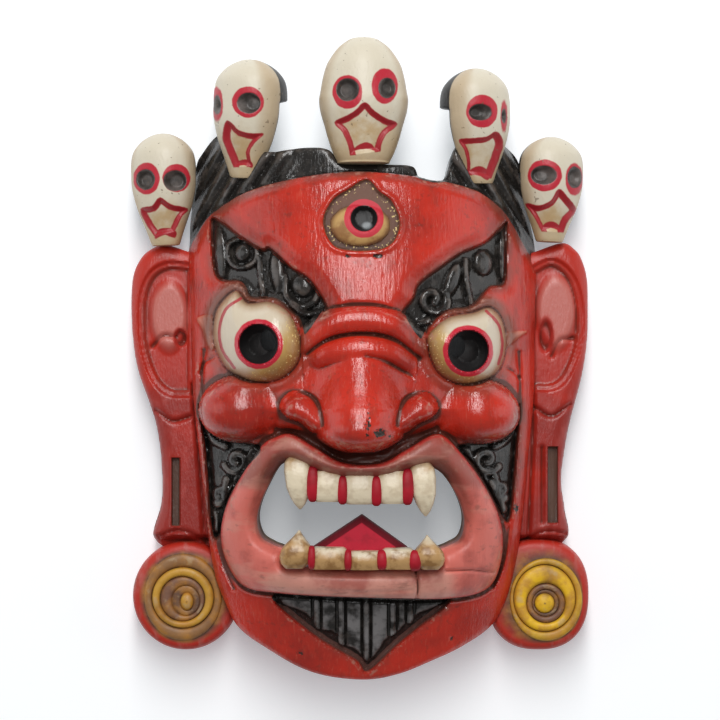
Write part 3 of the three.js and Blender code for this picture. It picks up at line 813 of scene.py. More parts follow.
def places(piece):
    """Millimetre places of a piece's vertices, from the middle of the photograph."""
    flat = np.empty(len(piece.data.vertices) * 3)
    piece.data.vertices.foreach_get("co", flat)
    return flat.reshape(-1, 3) / MM - FRAME_SHIFT


def write_field(piece, name, values):
    """Keeps one number for each vertex under a name."""
    field = piece.data.attributes.new(name, "FLOAT", "POINT")
    field.data.foreach_set("value", np.asarray(values, np.float32))


def write_colours(piece, name, colours):
    """Keeps one colour for each vertex under a name."""
    field = piece.data.attributes.new(name, "FLOAT_COLOR", "POINT")
    opaque = np.column_stack([colours, np.ones(len(colours))])
    field.data.foreach_set("color", opaque.astype(np.float32).ravel())


def finish_piece(piece, name, material, sharp_degrees=38):
    """Names a piece, shades it smooth up to an angle, gives it its paint and ties it to the solid."""
    piece.name = name
    piece.data.name = name
    piece.data.materials.clear()
    piece.data.materials.append(material)
    piece.data.shade_smooth()
    piece.data.set_sharp_from_angle(angle=math.radians(sharp_degrees))
    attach(piece, "root")


class PaintBook:
    """Builds one painted material, layer over layer, on a piece's own fields and Object coordinates."""

    def __init__(self, name):
        self.material = bpy.data.materials.new(name)
        self.material.use_nodes = True
        self.tree = self.material.node_tree
        self.shader = self.tree.nodes["Principled BSDF"]
        self.place = self.tree.nodes.new("ShaderNodeTexCoord").outputs["Object"]

    def plug(self, socket, value):
        """Links a socket to another, or gives it a number, vector or colour."""
        if isinstance(value, bpy.types.NodeSocket):
            self.tree.links.new(value, socket)
        elif isinstance(value, (int, float)):
            socket.default_value = value
        else:
            socket.default_value = (*value, 1) if len(socket.default_value) == 4 else value

    def field(self, name):
        """A number that the piece keeps for each vertex."""
        node = self.tree.nodes.new("ShaderNodeAttribute")
        node.attribute_name = name
        return node.outputs["Fac"]

    def colours(self, name):
        """A colour that the piece keeps for each vertex."""
        node = self.tree.nodes.new("ShaderNodeAttribute")
        node.attribute_name = name
        return node.outputs["Color"]

    def calc(self, operation, first, second=0.0):
        node = self.tree.nodes.new("ShaderNodeMath")
        node.operation = operation
        self.plug(node.inputs[0], first)
        self.plug(node.inputs[1], second)
        return node.outputs[0]

    def noise(self, scale, detail=3.0, stretch=(1, 1, 1), roughness=0.55):
        """Fractal noise from 0 to 1; scale counts per metre, stretch squeezes it along an axis."""
        mapping = self.tree.nodes.new("ShaderNodeMapping")
        self.plug(mapping.inputs["Vector"], self.place)
        self.plug(mapping.inputs["Scale"], stretch)
        node = self.tree.nodes.new("ShaderNodeTexNoise")
        self.plug(node.inputs["Vector"], mapping.outputs[0])
        self.plug(node.inputs["Scale"], scale)
        self.plug(node.inputs["Detail"], detail)
        self.plug(node.inputs["Roughness"], roughness)
        return node.outputs[0]

    def band(self, value, start, end, strength=1.0):
        """0 at start rising smoothly to the strength at end; start may be the larger."""
        node = self.tree.nodes.new("ShaderNodeMapRange")
        node.interpolation_type = "SMOOTHSTEP"
        self.plug(node.inputs["Value"], value)
        low, high = min(start, end), max(start, end)
        self.plug(node.inputs["From Min"], low)
        self.plug(node.inputs["From Max"], high)
        self.plug(node.inputs["To Min"], 0.0 if start < end else strength)
        self.plug(node.inputs["To Max"], strength if start < end else 0.0)
        return node.outputs[0]

    def inside(self, value, edge=0.0, soft=0.3, wobble=None):
        """1 inside an edge of a distance field and 0 outside, moved to and fro by a brush's wobble."""
        if wobble is not None:
            value = self.calc("ADD", value, wobble)
        return self.band(value, edge + soft, edge - soft)

    def over(self, below, colour, mask):
        """Lays a colour over what is below, where the mask is 1."""
        node = self.tree.nodes.new("ShaderNodeMix")
        node.data_type = "RGBA"
        self.plug(node.inputs[0], mask)
        self.plug(node.inputs[6], below)
        self.plug(node.inputs[7], colour)
        return node.outputs[2]

    def blend(self, below, value, mask):
        """Lays a number over what is below, where the mask is 1."""
        node = self.tree.nodes.new("ShaderNodeMix")
        node.data_type = "FLOAT"
        self.plug(node.inputs[0], mask)
        self.plug(node.inputs[2], below)
        self.plug(node.inputs[3], value)
        return node.outputs[0]

    def layer(self, below, colour, value, start, end, strength=1.0):
        """Lays a colour over what is below, more and more as a value goes from start to end."""
        return self.over(below, colour, self.band(value, start, end, strength))

    def times(self, *masks):
        """Product of masks."""
        product = masks[0]
        for mask in masks[1:]:
            product = self.calc("MULTIPLY", product, mask)
        return product

    def plus(self, value, noise, share):
        """A value with a share of a noise added."""
        return self.calc("ADD", value, self.calc("MULTIPLY", noise, share))

    def uneven(self, value, noise, size):
        """A value moved to and fro by a noise, by half the size each way."""
        return self.plus(value, self.calc("SUBTRACT", noise, 0.5), size)

    def hand_wobble(self, size):
        """Uneven brush edge in millimetres, for distance fields."""
        return self.uneven(0.0, self.noise(220, 2), size)

    def aged(self, colour, paint, strength=1.0):
        """Brown wash in grooves and sunk parts, rubbed away unevenly."""
        patch = self.noise(60, 4)
        groove = self.band(self.plus(self.field("groove"), patch, 0.5), 0.5, 1.5, 0.85)
        sunk = self.band(self.field("sunk"), 0.8, 3.6, 0.45)
        washed = self.over(colour, paint.wash, self.times(sunk, self.band(patch, 0.2, 0.75), strength))
        return self.over(washed, paint.wash, self.times(groove, strength))

    def surface(self, colour, roughness, height=None, depth=0.25):
        """Joins colour, roughness and fine relief, its depth in millimetres, to the shader."""
        self.plug(self.shader.inputs["Base Color"], colour)
        self.plug(self.shader.inputs["Roughness"], roughness)
        if height is not None:
            bump = self.tree.nodes.new("ShaderNodeBump")
            bump.inputs["Strength"].default_value = 1.0
            bump.inputs["Distance"].default_value = depth * MM
            self.plug(bump.inputs["Height"], height)
            self.tree.links.new(bump.outputs[0], self.shader.inputs["Normal"])
        return self.material


def red_ground(book, paint, grain):
    """Red of the face: darker patches, fresh and brown streaks, speckles, and smudges beside the black."""
    colour = book.layer(paint.red, paint.dark_red, book.noise(26, 3), 0.36, 0.7, 0.75)
    colour = book.layer(colour, TONES["fresh red"], grain, 0.52, 0.78, 0.45)
    colour = book.layer(colour, TONES["brown red"], book.noise(48, 5, (2.5, 1, 1)), 0.56, 0.78, 0.5)
    fine, broad = book.noise(330, 5), book.noise(30, 3)
    speckle = book.times(book.band(fine, 0.54, 0.7, 0.5), book.band(broad, 0.35, 0.65))
    colour = book.over(colour, TONES["red speckle"], speckle)
    colour = book.layer(colour, TONES["pale streak"], book.noise(120, 5, (7, 0.6, 3)), 0.58, 0.74, 0.4)
    beside = book.band(book.field("black"), 8.0, 0.2, 0.8)
    return book.over(colour, TONES["smudge"], book.times(beside, book.band(book.noise(40, 4), 0.3, 0.62)))


def lip_tone(book, paint):
    """Pink of the lips: paler below, painted shade above and inside, worn patches and a red edge."""
    low = book.field("lip_low")
    tone = book.layer(paint.lip, TONES["low lip"], low, 0.2, 1.0, 0.8)
    # Painted shade on the inner edge of the top lip.
    tone = book.layer(tone, TONES["inner lip painted shade"], book.field("lip_inner"), 0.2, 0.9, 0.75)
    # Painted shadow of the nose over the whole top lip.
    tone = book.layer(tone, TONES["upper lip painted shadow"], book.field("lip_high"), 0.1, 0.8, 0.9)
    tone = book.layer(tone, TONES["lip patch"], book.noise(55, 4), 0.45, 0.68, 0.7)
    streak = book.band(book.noise(38, 5, (0.5, 2.5, 1)), 0.53, 0.66, 0.75)
    tone = book.over(tone, TONES["pale lip"], book.times(streak, book.band(low, -0.6, 0.6)))
    tone = book.layer(tone, TONES["lip scratch"], book.noise(150, 4, (0.6, 1.6, 1)), 0.58, 0.72, 0.5)
    return book.layer(tone, TONES["lip edge"], book.field("lip"), -2.6, -1.0, 0.9)


def eye_tone(book, wobble):
    """White of the eyes, ochre towards the nose and below, brown at the edge, with a painted vein."""
    edge = book.field("eye")
    ochre = book.uneven(book.field("ochre"), book.noise(70, 3), 0.7)
    tone = book.layer(TONES["eye white"], TONES["eye ochre"], ochre, 0.0, 0.6, 0.95)
    tone = book.layer(tone, TONES["eye brown"], ochre, 0.4, 1.0, 0.9)
    tone = book.layer(tone, TONES["eye shade"], edge, -7, -2, 0.6)
    tone = book.layer(tone, TONES["eye edge"], edge, -3.2, -0.4, 0.7)
    return book.over(tone, TONES["vein"], book.inside(book.field("vein"), 0.9, 0.3, wobble))


def hair_tone(book, paint, groove):
    """Black hair: dusty flats, wear and painted highlight on ridges, dust and painted sheen on the beard."""
    dust = book.times(book.band(groove, -0.9, -0.2, 0.35), book.band(book.noise(160, 3), 0.5, 0.7))
    tone = book.over(paint.black, TONES["hair dust"], dust)
    # Paler ridges: wear and painted highlight.
    worn = book.times(book.band(groove, -0.3, -1.0, 0.6), book.band(book.noise(130, 5), 0.42, 0.62))
    tone = book.over(tone, TONES["hair wear and painted highlight"], worn)
    # Greyer beard flats: dust and painted sheen.
    pads = book.times(book.band(book.field("beard"), 0.0, -1.5), book.band(book.noise(110, 5), 0.36, 0.62),
                      book.band(groove, 0.3, -0.1))
    return book.over(tone, TONES["beard pad dust and painted sheen"], pads)


def face_paint(paint):
    """Red face with black hair, pink lips and painted eyes under a brown wash, bare wood behind."""
    book = PaintBook("face paint")
    wobble = book.hand_wobble(0.9)
    grain = book.noise(90, 5, (6, 1, 3))
    groove = book.field("groove")
    lip = book.inside(book.field("lip"), -0.6, 0.4, wobble)
    third = book.inside(book.field("third"), 0.0, 0.3, wobble)
    black = book.inside(book.field("black"), 0.0, 0.35, wobble)
    front = book.inside(book.field("bare"), 0.5, 0.2)
    colour = book.over(red_ground(book, paint, grain), lip_tone(book, paint), lip)
    corner = book.inside(book.field("corner"), 0.0, 0.4, wobble)
    colour = book.over(colour, TONES["eye corner"], book.times(corner, 0.85))
    # Brown round the eyes, stronger above and outward as painted shade.
    lid = book.times(book.field("lid"), book.band(book.noise(45, 3), 0.15, 0.5), 0.85)
    colour = book.over(colour, TONES["eyelid brown and painted shade"], lid)
    colour = book.over(colour, eye_tone(book, wobble), book.inside(book.field("eye"), -0.6, 0.4, wobble))
    ball = book.layer(TONES["third ball"], TONES["third shade"], book.noise(120, 3), 0.42, 0.68)
    third_tone = book.over(TONES["third ground"], ball, book.inside(book.field("third_ball"), 0.95, 0.14))
    colour = book.aged(book.over(colour, third_tone, third), paint)
    rubbed = book.times(book.band(groove, -0.5, -1.2), book.band(book.noise(260, 4), 0.52, 0.66, 0.6))
    colour = book.over(colour, TONES["rubbed edge"], rubbed)
    chip = book.inside(book.field("chip"), 0.0, 0.3, book.uneven(0.0, book.noise(520, 3), 6.0))
    colour = book.over(colour, TONES["chip"], chip)
    specks = book.times(book.band(book.noise(760, 1), 0.63, 0.69), book.band(book.field("gilded"), 2.6, 0.6))
    colour = book.over(colour, TONES["gilt speck"], specks)
    rings = book.plus(book.calc("MINIMUM", book.field("iris"), book.field("third_iris")), wobble, 0.07)
    colour = book.over(colour, TONES["iris"], book.inside(rings, 1.0, 0.025))
    third_pupil = book.inside(book.field("third_iris"), 0.68, 0.03)
    pupil = book.calc("MAXIMUM", book.inside(book.field("iris"), 0.8, 0.02), third_pupil)
    colour = book.over(colour, TONES["pupil"], pupil)
    # Painted reflection of light in the third eye's pupil.
    painted_glint = book.times(book.band(book.field("painted_glint"), 3.6, 1.4, 0.85), pupil)
    colour = book.over(colour, TONES["painted_glint"], painted_glint)
    hollow = book.inside(book.field("beard_hollow"), 0.0, 0.6)
    ledge = book.times(hollow, book.band(book.noise(70, 4), 0.2, 0.5), 0.9)
    colour = book.over(colour, TONES["beard ledge"], ledge)
    colour = book.over(colour, hair_tone(book, paint, groove), black)
    wood = book.layer(paint.wood, TONES["dark wood"], book.noise(70, 4, (5, 0.7, 1)), 0.4, 0.7)
    colour = book.over(wood, colour, front)
    roughness = book.blend(book.plus(0.1, grain, 0.22), 0.45, lip)
    roughness = book.blend(roughness, 0.62, third)
    roughness = book.blend(roughness, 0.6, book.band(groove, 0.4, 1.2, 0.6))
    roughness = book.blend(book.blend(roughness, 0.19, black), 0.55, pupil)
    roughness = book.blend(0.75, roughness, front)
    book.shader.inputs["Specular IOR Level"].default_value = 0.6
    return book.surface(colour, roughness, book.plus(grain, book.noise(420, 3), 0.5), 0.3)


def ear_paint(paint):
    """Red ears, darker towards the lobe, with paler folds and a brown groove, under a brown wash."""
    book = PaintBook("ear paint")
    patches = book.noise(34, 3)
    dark = book.times(book.band(patches, 0.12, 0.52, 0.95), book.field("lobe"))
    colour = book.over(paint.red, paint.dark_red, dark)
    colour = book.layer(colour, TONES["ear streak"], book.noise(60, 5, (3, 1, 1)), 0.5, 0.72, 0.6)
    fold = book.uneven(book.field("fold"), patches, 0.5)
    colour = book.layer(colour, TONES["ear fold"], fold, 1.12, 0.75, 0.85)
    colour = book.layer(colour, TONES["ear canal"], book.field("canal"), 1.5, 0.9, 0.9)
    trough = book.band(book.field("trough"), 2.2, 0.8)
    brown = book.times(trough, book.band(book.noise(60, 3), 0.3, 0.65, 0.45))
    colour = book.over(colour, TONES["ear trough"], brown)
    slot = book.inside(book.field("slot"), 0.0, 0.35, book.hand_wobble(0.6))
    colour = book.aged(book.over(colour, TONES["ear slot"], slot), paint, 0.7)
    return book.surface(colour, book.plus(0.26, patches, 0.16), book.noise(300, 4, (3, 1, 1)), 0.25)


def earring_paint():
    """Turned rosette in ochre or yellow on a red disc, browned in its grooves."""
    book = PaintBook("earring paint")
    patches = book.noise(60, 4)
    gilt = book.field("gilt")
    orange = book.times(gilt, book.band(book.noise(95, 4), 0.4, 0.66, 0.75))
    colour = book.over(book.colours("paint"), TONES["earring orange"], orange)
    disc = book.calc("SUBTRACT", 1.0, gilt)
    strokes = book.times(disc, book.band(book.noise(75, 5, (3, 1, 1)), 0.5, 0.72, 0.6))
    colour = book.over(colour, TONES["earring stroke"], strokes)
    colour = book.layer(colour, TONES["earring brown"], patches, 0.5, 0.76, 0.6)
    ridge = book.band(book.field("ridge"), 0.8, 1.0)
    scratched = book.times(ridge, book.band(book.noise(130, 5), 0.54, 0.68, 0.45))
    colour = book.over(colour, TONES["earring scratch"], scratched)
    return book.surface(colour, book.plus(0.4, patches, 0.16), book.noise(260, 4), 0.25)


def skull_paint(paint):
    """Cream skull with dark sockets, crimson rings and star edges, ochre at the jaw and black behind."""
    book = PaintBook("skull paint")
    wobble = book.hand_wobble(0.9)
    patches = book.noise(70, 4)
    low = book.uneven(book.field("low"), patches, 0.7)
    colour = book.layer(paint.cream, TONES["skull jaw"], low, 0.0, 0.5, 0.8)
    # Browner towards the sides: painted shade.
    colour = book.layer(colour, TONES["skull side painted shade"], book.field("side"), 0.7, 0.98, 0.55)
    ground = book.times(book.band(book.field("sunk_star"), 0.5, -1.5, 0.6), book.band(patches, 0.4, 0.65))
    colour = book.over(colour, TONES["star ground"], ground)
    colour = book.over(colour, paint.crimson, book.inside(book.field("ring"), 0.0, 0.35, wobble))
    colour = book.over(colour, TONES["star edge"], book.inside(book.field("star"), 0.0, 0.35, wobble))
    socket_tone = book.layer(TONES["socket"], TONES["socket dust"], book.noise(120, 3), 0.4, 0.7)
    socket = book.inside(book.field("socket"), 0.0, 0.35, book.hand_wobble(0.6))
    colour = book.over(colour, socket_tone, socket)
    colour = book.over(colour, paint.black, book.inside(book.field("behind"), 0.0, 0.5, wobble))
    colour = book.layer(colour, TONES["skull speck"], book.noise(420, 1), 0.72, 0.76, 0.6)
    height = book.plus(book.noise(240, 4, (2, 1, 2)), patches, 0.8)
    return book.surface(colour, book.plus(0.32, patches, 0.2), height, 0.3)


def enamel(paint, name, yellowing):
    """Cream teeth, ochre towards the gum and in the hollows, darker and more stained the more yellowed."""
    book = PaintBook(name)
    worn = book.plus(book.field("gum"), book.noise(140, 4), 0.8)
    pale = tuple(np.array(TONES["tooth"]) * (1 - 0.2 * yellowing))
    colour = book.layer(pale, paint.ochre, worn, 1.4 - yellowing, 1.85 - yellowing, 0.9)
    colour = book.layer(colour, TONES["tooth dirt"], worn, 1.8 - 0.4 * yellowing, 2.1 - 0.4 * yellowing, 0.7)
    colour = book.layer(colour, TONES["tooth stain"], book.noise(170, 5), 0.46, 0.66, 0.8 * yellowing)
    return book.surface(colour, 0.34, book.noise(300, 3), 0.3)


def gap_paint():
    """Red of the gaps between the teeth, unevenly laid."""
    book = PaintBook("gap paint")
    colour = book.layer(TONES["gap"], TONES["gap shade"], book.noise(80, 3), 0.35, 0.75, 0.8)
    book.shader.inputs["Specular IOR Level"].default_value = 0.25
    return book.surface(colour, 0.5, book.noise(260, 3), 0.2)


def tongue_paint():
    """Crimson of the tongue, unevenly laid over its top and its sides darkened as painted shade."""
    book = PaintBook("tongue paint")
    colour = book.layer(book.colours("paint"), TONES["tongue shade"], book.noise(90, 3), 0.5, 0.8, 0.6)
    book.shader.inputs["Specular IOR Level"].default_value = 0.2
    return book.surface(colour, 0.6, book.noise(260, 3), 0.2)


def lobe_share(lobe, x, y):
    """Distance from the middle of a leaning ellipse over its own radius: 1 on its edge."""
    (cx, cy), = on_face([lobe[:2]])
    half_width, half_length = np.array(lobe[2:4]) * EYE_SHARE / PHOTO_SCALE
    cos, sin = math.cos(math.radians(lobe[4])), math.sin(math.radians(lobe[4]))
    across, along = cos * (x - cx) + sin * (y - cy), cos * (y - cy) - sin * (x - cx)
    return np.hypot(across / half_width, along / half_length)


def face_fields(grid):
    """Distances from the face's carved and painted edges, negative inside, and shares of its round parts."""
    x, y = grid.x, grid.y
    fields = grid.fields
    fields["head"] = line_distance(smooth_line(on_edge(HEAD_EDGE)), x, y, closed=True, reach=120)
    forehead = smooth_line(on_face(FOREHEAD_EDGE), closed=False)
    around = np.array([(140, 40), (140, -220), (-140, -220), (-140, 40)])
    fields["face"] = line_distance(np.vstack([forehead, around]), x, y, closed=True, reach=120)
    outlines = {
        "brow": (BROWS, 0), "burn": (SIDEBURNS, 0), "beard": ([BEARD], -4),
        "beard_hollow": ([BEARD_HOLLOW], -2), "lip": ([LIP_EDGE], 4), "mouth": ([MOUTH_EDGE], MOUTH_LIFT),
        "third": ([THIRD_EYE], 1),
    }
    for name, (edges, lift) in outlines.items():
        fields[name] = nearest(line_distance(smooth_line(on_face(edge, lift)), x, y, True) for edge in edges)
    fields["corner"] = nearest(
        line_distance(smooth_line(on_face(edge, 2), 3), x, y, True) for edge in EYE_CORNERS)
    locks = [(spiral(*curl), CURL_HALF_WIDTH) for curl in CURLS]
    locks += [(smooth_line(strand, 5, closed=False), half_width) for strand, half_width in STRANDS]
    fields["strand"] = nearest(line_distance(on_face(line), x, y, reach=8) / half for line, half in locks)
    fields["lobe"] = nearest(lobe_share(lobe, x, y) for lobe in LOBES)
    eyes = [line_distance(smooth_line(on_face(eye["edge"], 6)), x, y, True) for eye in EYES]
    fields["eye"] = nearest(eyes)
    fields["vein"] = nearest(
        line_distance(smooth_line(on_face(eye["vein"], 14), closed=False), x, y, reach=8) for eye in EYES)
    fields["iris"] = np.full(x.shape, 9.0)
    fields["ochre"] = np.full(x.shape, -1.0)
    fields["lid"] = np.zeros(x.shape)
    for eye, distance in zip(EYES, eyes):
        middle = on_face([eye["pupil"]], PUPIL_LIFT)[0]
        across, up = eye["inward"] * (x - middle[0]) / EYE_SPAN, (y - middle[1]) / EYE_SPAN
        reach = np.hypot(x - middle[0], y - middle[1]) * PHOTO_SCALE / EYE_SHARE
        fields["iris"] = np.minimum(fields["iris"], reach / eye["iris_size"])
        fields["ochre"] = np.where(distance < 6, across - 0.75 * up, fields["ochre"])
        # Brown band round the eyes, stronger above and outward as painted shade.
        shade = 0.45 + 0.55 * ease(0.2, 0.95, 0.85 * up - 0.5 * across)
        fields["lid"] = np.maximum(fields["lid"], shade * ease(9.0, 3.0, distance))
    ball = on_face([THIRD_BALL["middle"], THIRD_BALL["pupil"]], 3)
    size = np.array(THIRD_BALL["size"]) * EYE_SHARE / PHOTO_SCALE
    fields["third_ball"] = np.hypot((x - ball[0, 0]) / size[0], (y - ball[0, 1]) / size[1])
    reach = np.hypot(x - ball[1, 0], y - ball[1, 1]) * PHOTO_SCALE / EYE_SHARE
    fields["third_iris"] = reach / THIRD_BALL["iris_size"]
    # Where the painted reflection of light lies in the third eye's pupil.
    painted_glint, = on_face([THIRD_BALL["painted_glint"]], 3)
    fields["painted_glint"] = np.hypot(x - painted_glint[0], 1.3 * (y - painted_glint[1]))
    crown_edge = np.where(y > 95, -fields["head"] - 2.4, 9.0)
    fields["black"] = nearest([fields["brow"] + 1.2, fields["burn"] + 0.4, fields["beard"],
                               fields["beard_hollow"] + 2.6, -fields["face"], crown_edge])
    fields["gilded"] = nearest([0.6 * np.abs(fields["eye"] + 3.6) + ease(0.4, -0.2, fields["ochre"]) * 6,
                                np.abs(fields["third"] + 2.2)])
    fields["chip"] = nearest(
        (np.hypot(x - cx, (y - cy) * rx / ry) - rx * EYE_SHARE / PHOTO_SCALE)
        for (cx, cy), (_, _, rx, ry) in zip(on_face([chip[:2] for chip in CHIPS], 8), CHIPS))
    fields["lip_low"] = ease(-112, -120, y) * ease(62, 44, np.abs(x))
    # Top lip, which carries the painted shadow of the nose.
    fields["lip_high"] = ease(-76, -62, y)
    # Inner edge of the top lip: sunk a little, and darkened as painted shade.
    fields["lip_inner"] = ease(6.5, 1.5, fields["mouth"]) * ease(-72, -62, y)


def nose_height(x, y):
    """Nose: round sections across x, whose crest, half width and roundness follow a profile along y."""
    along, crest, half, power = smooth_line(NOSE_PROFILE, 8, closed=False)[::-1].T
    top, width, roundness = (np.interp(y, along, values) for values in (crest, half, power))
    section = np.clip(1 - np.abs(x / width) ** 2.2, 0, 1) ** roundness
    inside = (section > 0) & (y > along[0]) & (y < along[-1])
    return np.where(inside, NOSE_BASE + (top - NOSE_BASE) * section, 0)


def middle_face(z, x, y, bare):
    """Cheeks, nose rolls, nose and nostrils, each a rounded form blended softly into what is there."""
    for cheek in CHEEKS:
        (cx, cy), (across, up, down) = cheek["middle"], cheek["size"]
        share = arch(np.hypot((x - cx) / across, (y - cy) / np.where(y > cy, up, down)), 1)
        inner = ease(abs(cx) - 4, abs(cx) - 18, np.abs(x)) * ease(cy - 16, cy - 6, y)
        blend = 3 + 8 * np.maximum(ease(cy - 8, cy + 6, y), inner)
        z = soft_max(z, np.where(share > 0, CHEEK_BASE + CHEEK_RISE * share, 0), blend)
    for roll in NOSE_ROLLS:
        line = smooth_line(on_face(roll["line"], 8), closed=False)
        share = arch(line_distance(line, x, y, reach=14), roll["radius"])
        ends = roll["droop"] * ease(12, 34, np.abs(x)) ** 2
        height = bare + roll["lift"] - ends - 10 * (1 - share)
        z = soft_max(z, np.where(share > 0, height, 0), roll["blend"])
    z = soft_max(z, nose_height(x, y), 5 + 4 * ease(-25, -5, y))
    for wing in NOSE_WINGS:
        line = smooth_line(on_face(wing["line"], 14), closed=False)
        top, foot = line[0, 1], line[-1, 1]
        radius = np.interp(y, (foot, top), wing["radius"][::-1])
        share = line_distance(line, x, y, reach=30) / radius
        z = z + 6 * bell(share, 1.5) * ease(foot - 3, foot + 8, y)
        round_top = WING_BASE + WING_RISE * np.clip(1 - share**2, 0, 1) ** 0.6
        z = soft_max(z, np.where(share < 1, round_top, 0), 4)
    return z


def face_height(grid, sizes):
    """Carved front: the dome with sunk brows, sideburns and beard, and eyes, cheeks, nose and lips raised."""
    x, y, f = grid.x, grid.y, grid.fields
    bare = dome(x, y)
    z = bare - LID_DEPTH * ease(2, 9, f["eye"]) * ease(9, 0.5, f["brow"])
    z = z - BROW_DEPTH * ease(0.9, -1.1, f["brow"]) - BURN_DEPTH * ease(1.2, -1.0, f["burn"])
    strands = np.maximum(STRAND_SHARE * arch(f["strand"], 1), arch(f["lobe"], 1)) * sizes.hair_relief / MM
    z = z + strands * ease(-0.2, -1.6, np.minimum(f["brow"], f["burn"]))
    z = middle_face(z, x, y, bare)
    for line, depth, half_width in WRINKLES:
        beside = line_distance(smooth_line(on_face(line, 8), closed=False), x, y, reach=10)
        z = z - depth * bell(beside, half_width)
    z = z + EYE_RIM * bell(f["eye"] - 2.2, 3.2)
    z = z + CORNER_RISE * ease(0.8, -1.2, f["corner"])
    rise = np.clip(-f["eye"] / EYE_REACH, 0, 1)
    eyeball = bare + EYE_BASE + EYE_RISE * (1 - (1 - rise) ** 2) ** EYE_ROUNDNESS
    z = z + (eyeball - z) * ease(0.7, -0.9, f["eye"])
    funnel = PUPIL_DEPTH * np.clip((0.8 - f["iris"]) / 0.35, 0, 1) ** 0.8
    pit = PUPIL_STEP * ease(0.84, 0.75, f["iris"]) + funnel
    z = z - np.where(f["eye"] < -1, pit, 0)
    z = z - THIRD_DEPTH * ease(0.6, -1.2, f["third"]) + THIRD_RIM * bell(f["third"] - 1.3, 1.1)
    third_pit = THIRD_PUPIL_DEPTH * ease(0.74, 0.42, f["third_iris"])
    third_ball = THIRD_RISE * arch(f["third_ball"], 1.0) - third_pit
    z = z + ease(0.2, -1.0, f["third"]) * third_ball
    outer, inner = np.clip(-f["lip"], 0, None), np.clip(f["mouth"], 0, None)
    across = outer / (outer + inner + 0.01)
    section = np.clip(1 - np.abs(2 * across - 0.95) ** 3.2, 0, 1) ** 0.5
    swell = blurred(section, max(1, round(1.2 / grid.step)))
    lips = bare + LIP_BASE + sizes.lip_height / MM * swell - INNER_LIP_FALL * f["lip_inner"]
    z = z - LIP_GROOVE * bell(f["lip"] - 0.6, 1.5)
    for line, depth, half_width in LIP_CRACKS:
        beside = line_distance(smooth_line(on_face(line, 10), closed=False), x, y)
        lips = lips - depth * bell(beside, half_width)
    z = z + (lips - z) * ease(0.4, -1.0, f["lip"])
    strand_lines = on_face([(strand, 620) for strand in BEARD_STRANDS])[:, 0]
    beside = nearest(np.abs(x - line) for line in strand_lines)
    pleats = PLEAT_RISE - PLEAT_RELIEF * bell(beside - 2.3, 0.8) + PLEAT_RELIEF * arch(beside, 1.7)
    sunk = BEARD_DEPTH * ease(0.8, -0.8, f["beard_hollow"])
    z = z - ease(0.5, 1.5, f["lip"]) * (sunk - pleats * ease(0.2, -1.0, f["beard"]))
    z = z - CHIP_DEPTH * ease(0.3, -0.5, f["chip"])
    combed = 0.84 * np.abs(x) + 0.54 * y
    ridges = COMB_RISE * np.abs(np.sin(np.pi * combed / COMB_SPACING)) * ease(30, 52, np.abs(x))
    z = z - HAIRLINE_FALL * ease(-9, 0.5, f["face"]) ** 2
    step = np.minimum(hair_surface(x), z - HAIRLINE_STEP) + ridges
    z = z + (step - z) * ease(-0.4, 1.4, f["face"])
    drop = np.clip(1 + f["head"] / EDGE_ROUND, 0, 1)
    return z - EDGE_ROUND * (1 - np.sqrt(1 - drop**2))


def sight_hole(middle, inward, radius):
    """Slanting bore through a pupil: level rings that shift in and up going down, and widen under a waist."""
    turn = np.linspace(0, 2 * np.pi, BORE_POINTS, endpoint=False)
    height = np.linspace(30, BORE_FRONT + 24, 16)[:, None]
    down = BORE_FRONT - height
    reach = radius + BORE_GROWTH * np.clip(BORE_WAIST - height, 0, None)
    x = middle[0] + inward * BORE_SLANT[0] * down + reach * np.cos(turn)
    y = middle[1] + BORE_SLANT[1] * down + reach * np.sin(turn)
    return ring_body(np.stack([x, y, np.broadcast_to(height, x.shape)], axis=-1))


def hollow_height(x, y):
    """Highest that the hollow can reach over a place."""
    return dome(x, y) - FACE_THICKNESS


def hollow_tool():
    """The hollow behind: rings of the head's edge drawn in, each at its share of the dome's height."""
    edge = counter_clockwise(smooth_line(on_edge(HEAD_EDGE), 2))
    edge = edge[edge[:, 1] < HOLLOW_END]
    middle = np.array(HOLLOW_MIDDLE)
    rings = []
    for share, rise in HOLLOW_RISE:
        ring = middle + (edge - middle) * share * HOLLOW_SHARE
        rings.append(np.column_stack([ring, hollow_height(*ring.T) * rise]))
    rings.append(np.column_stack([rings[-1][:, :2], np.full(len(edge), float(CUT_FOOT))]))
    return ring_body(np.array(rings)[::-1])


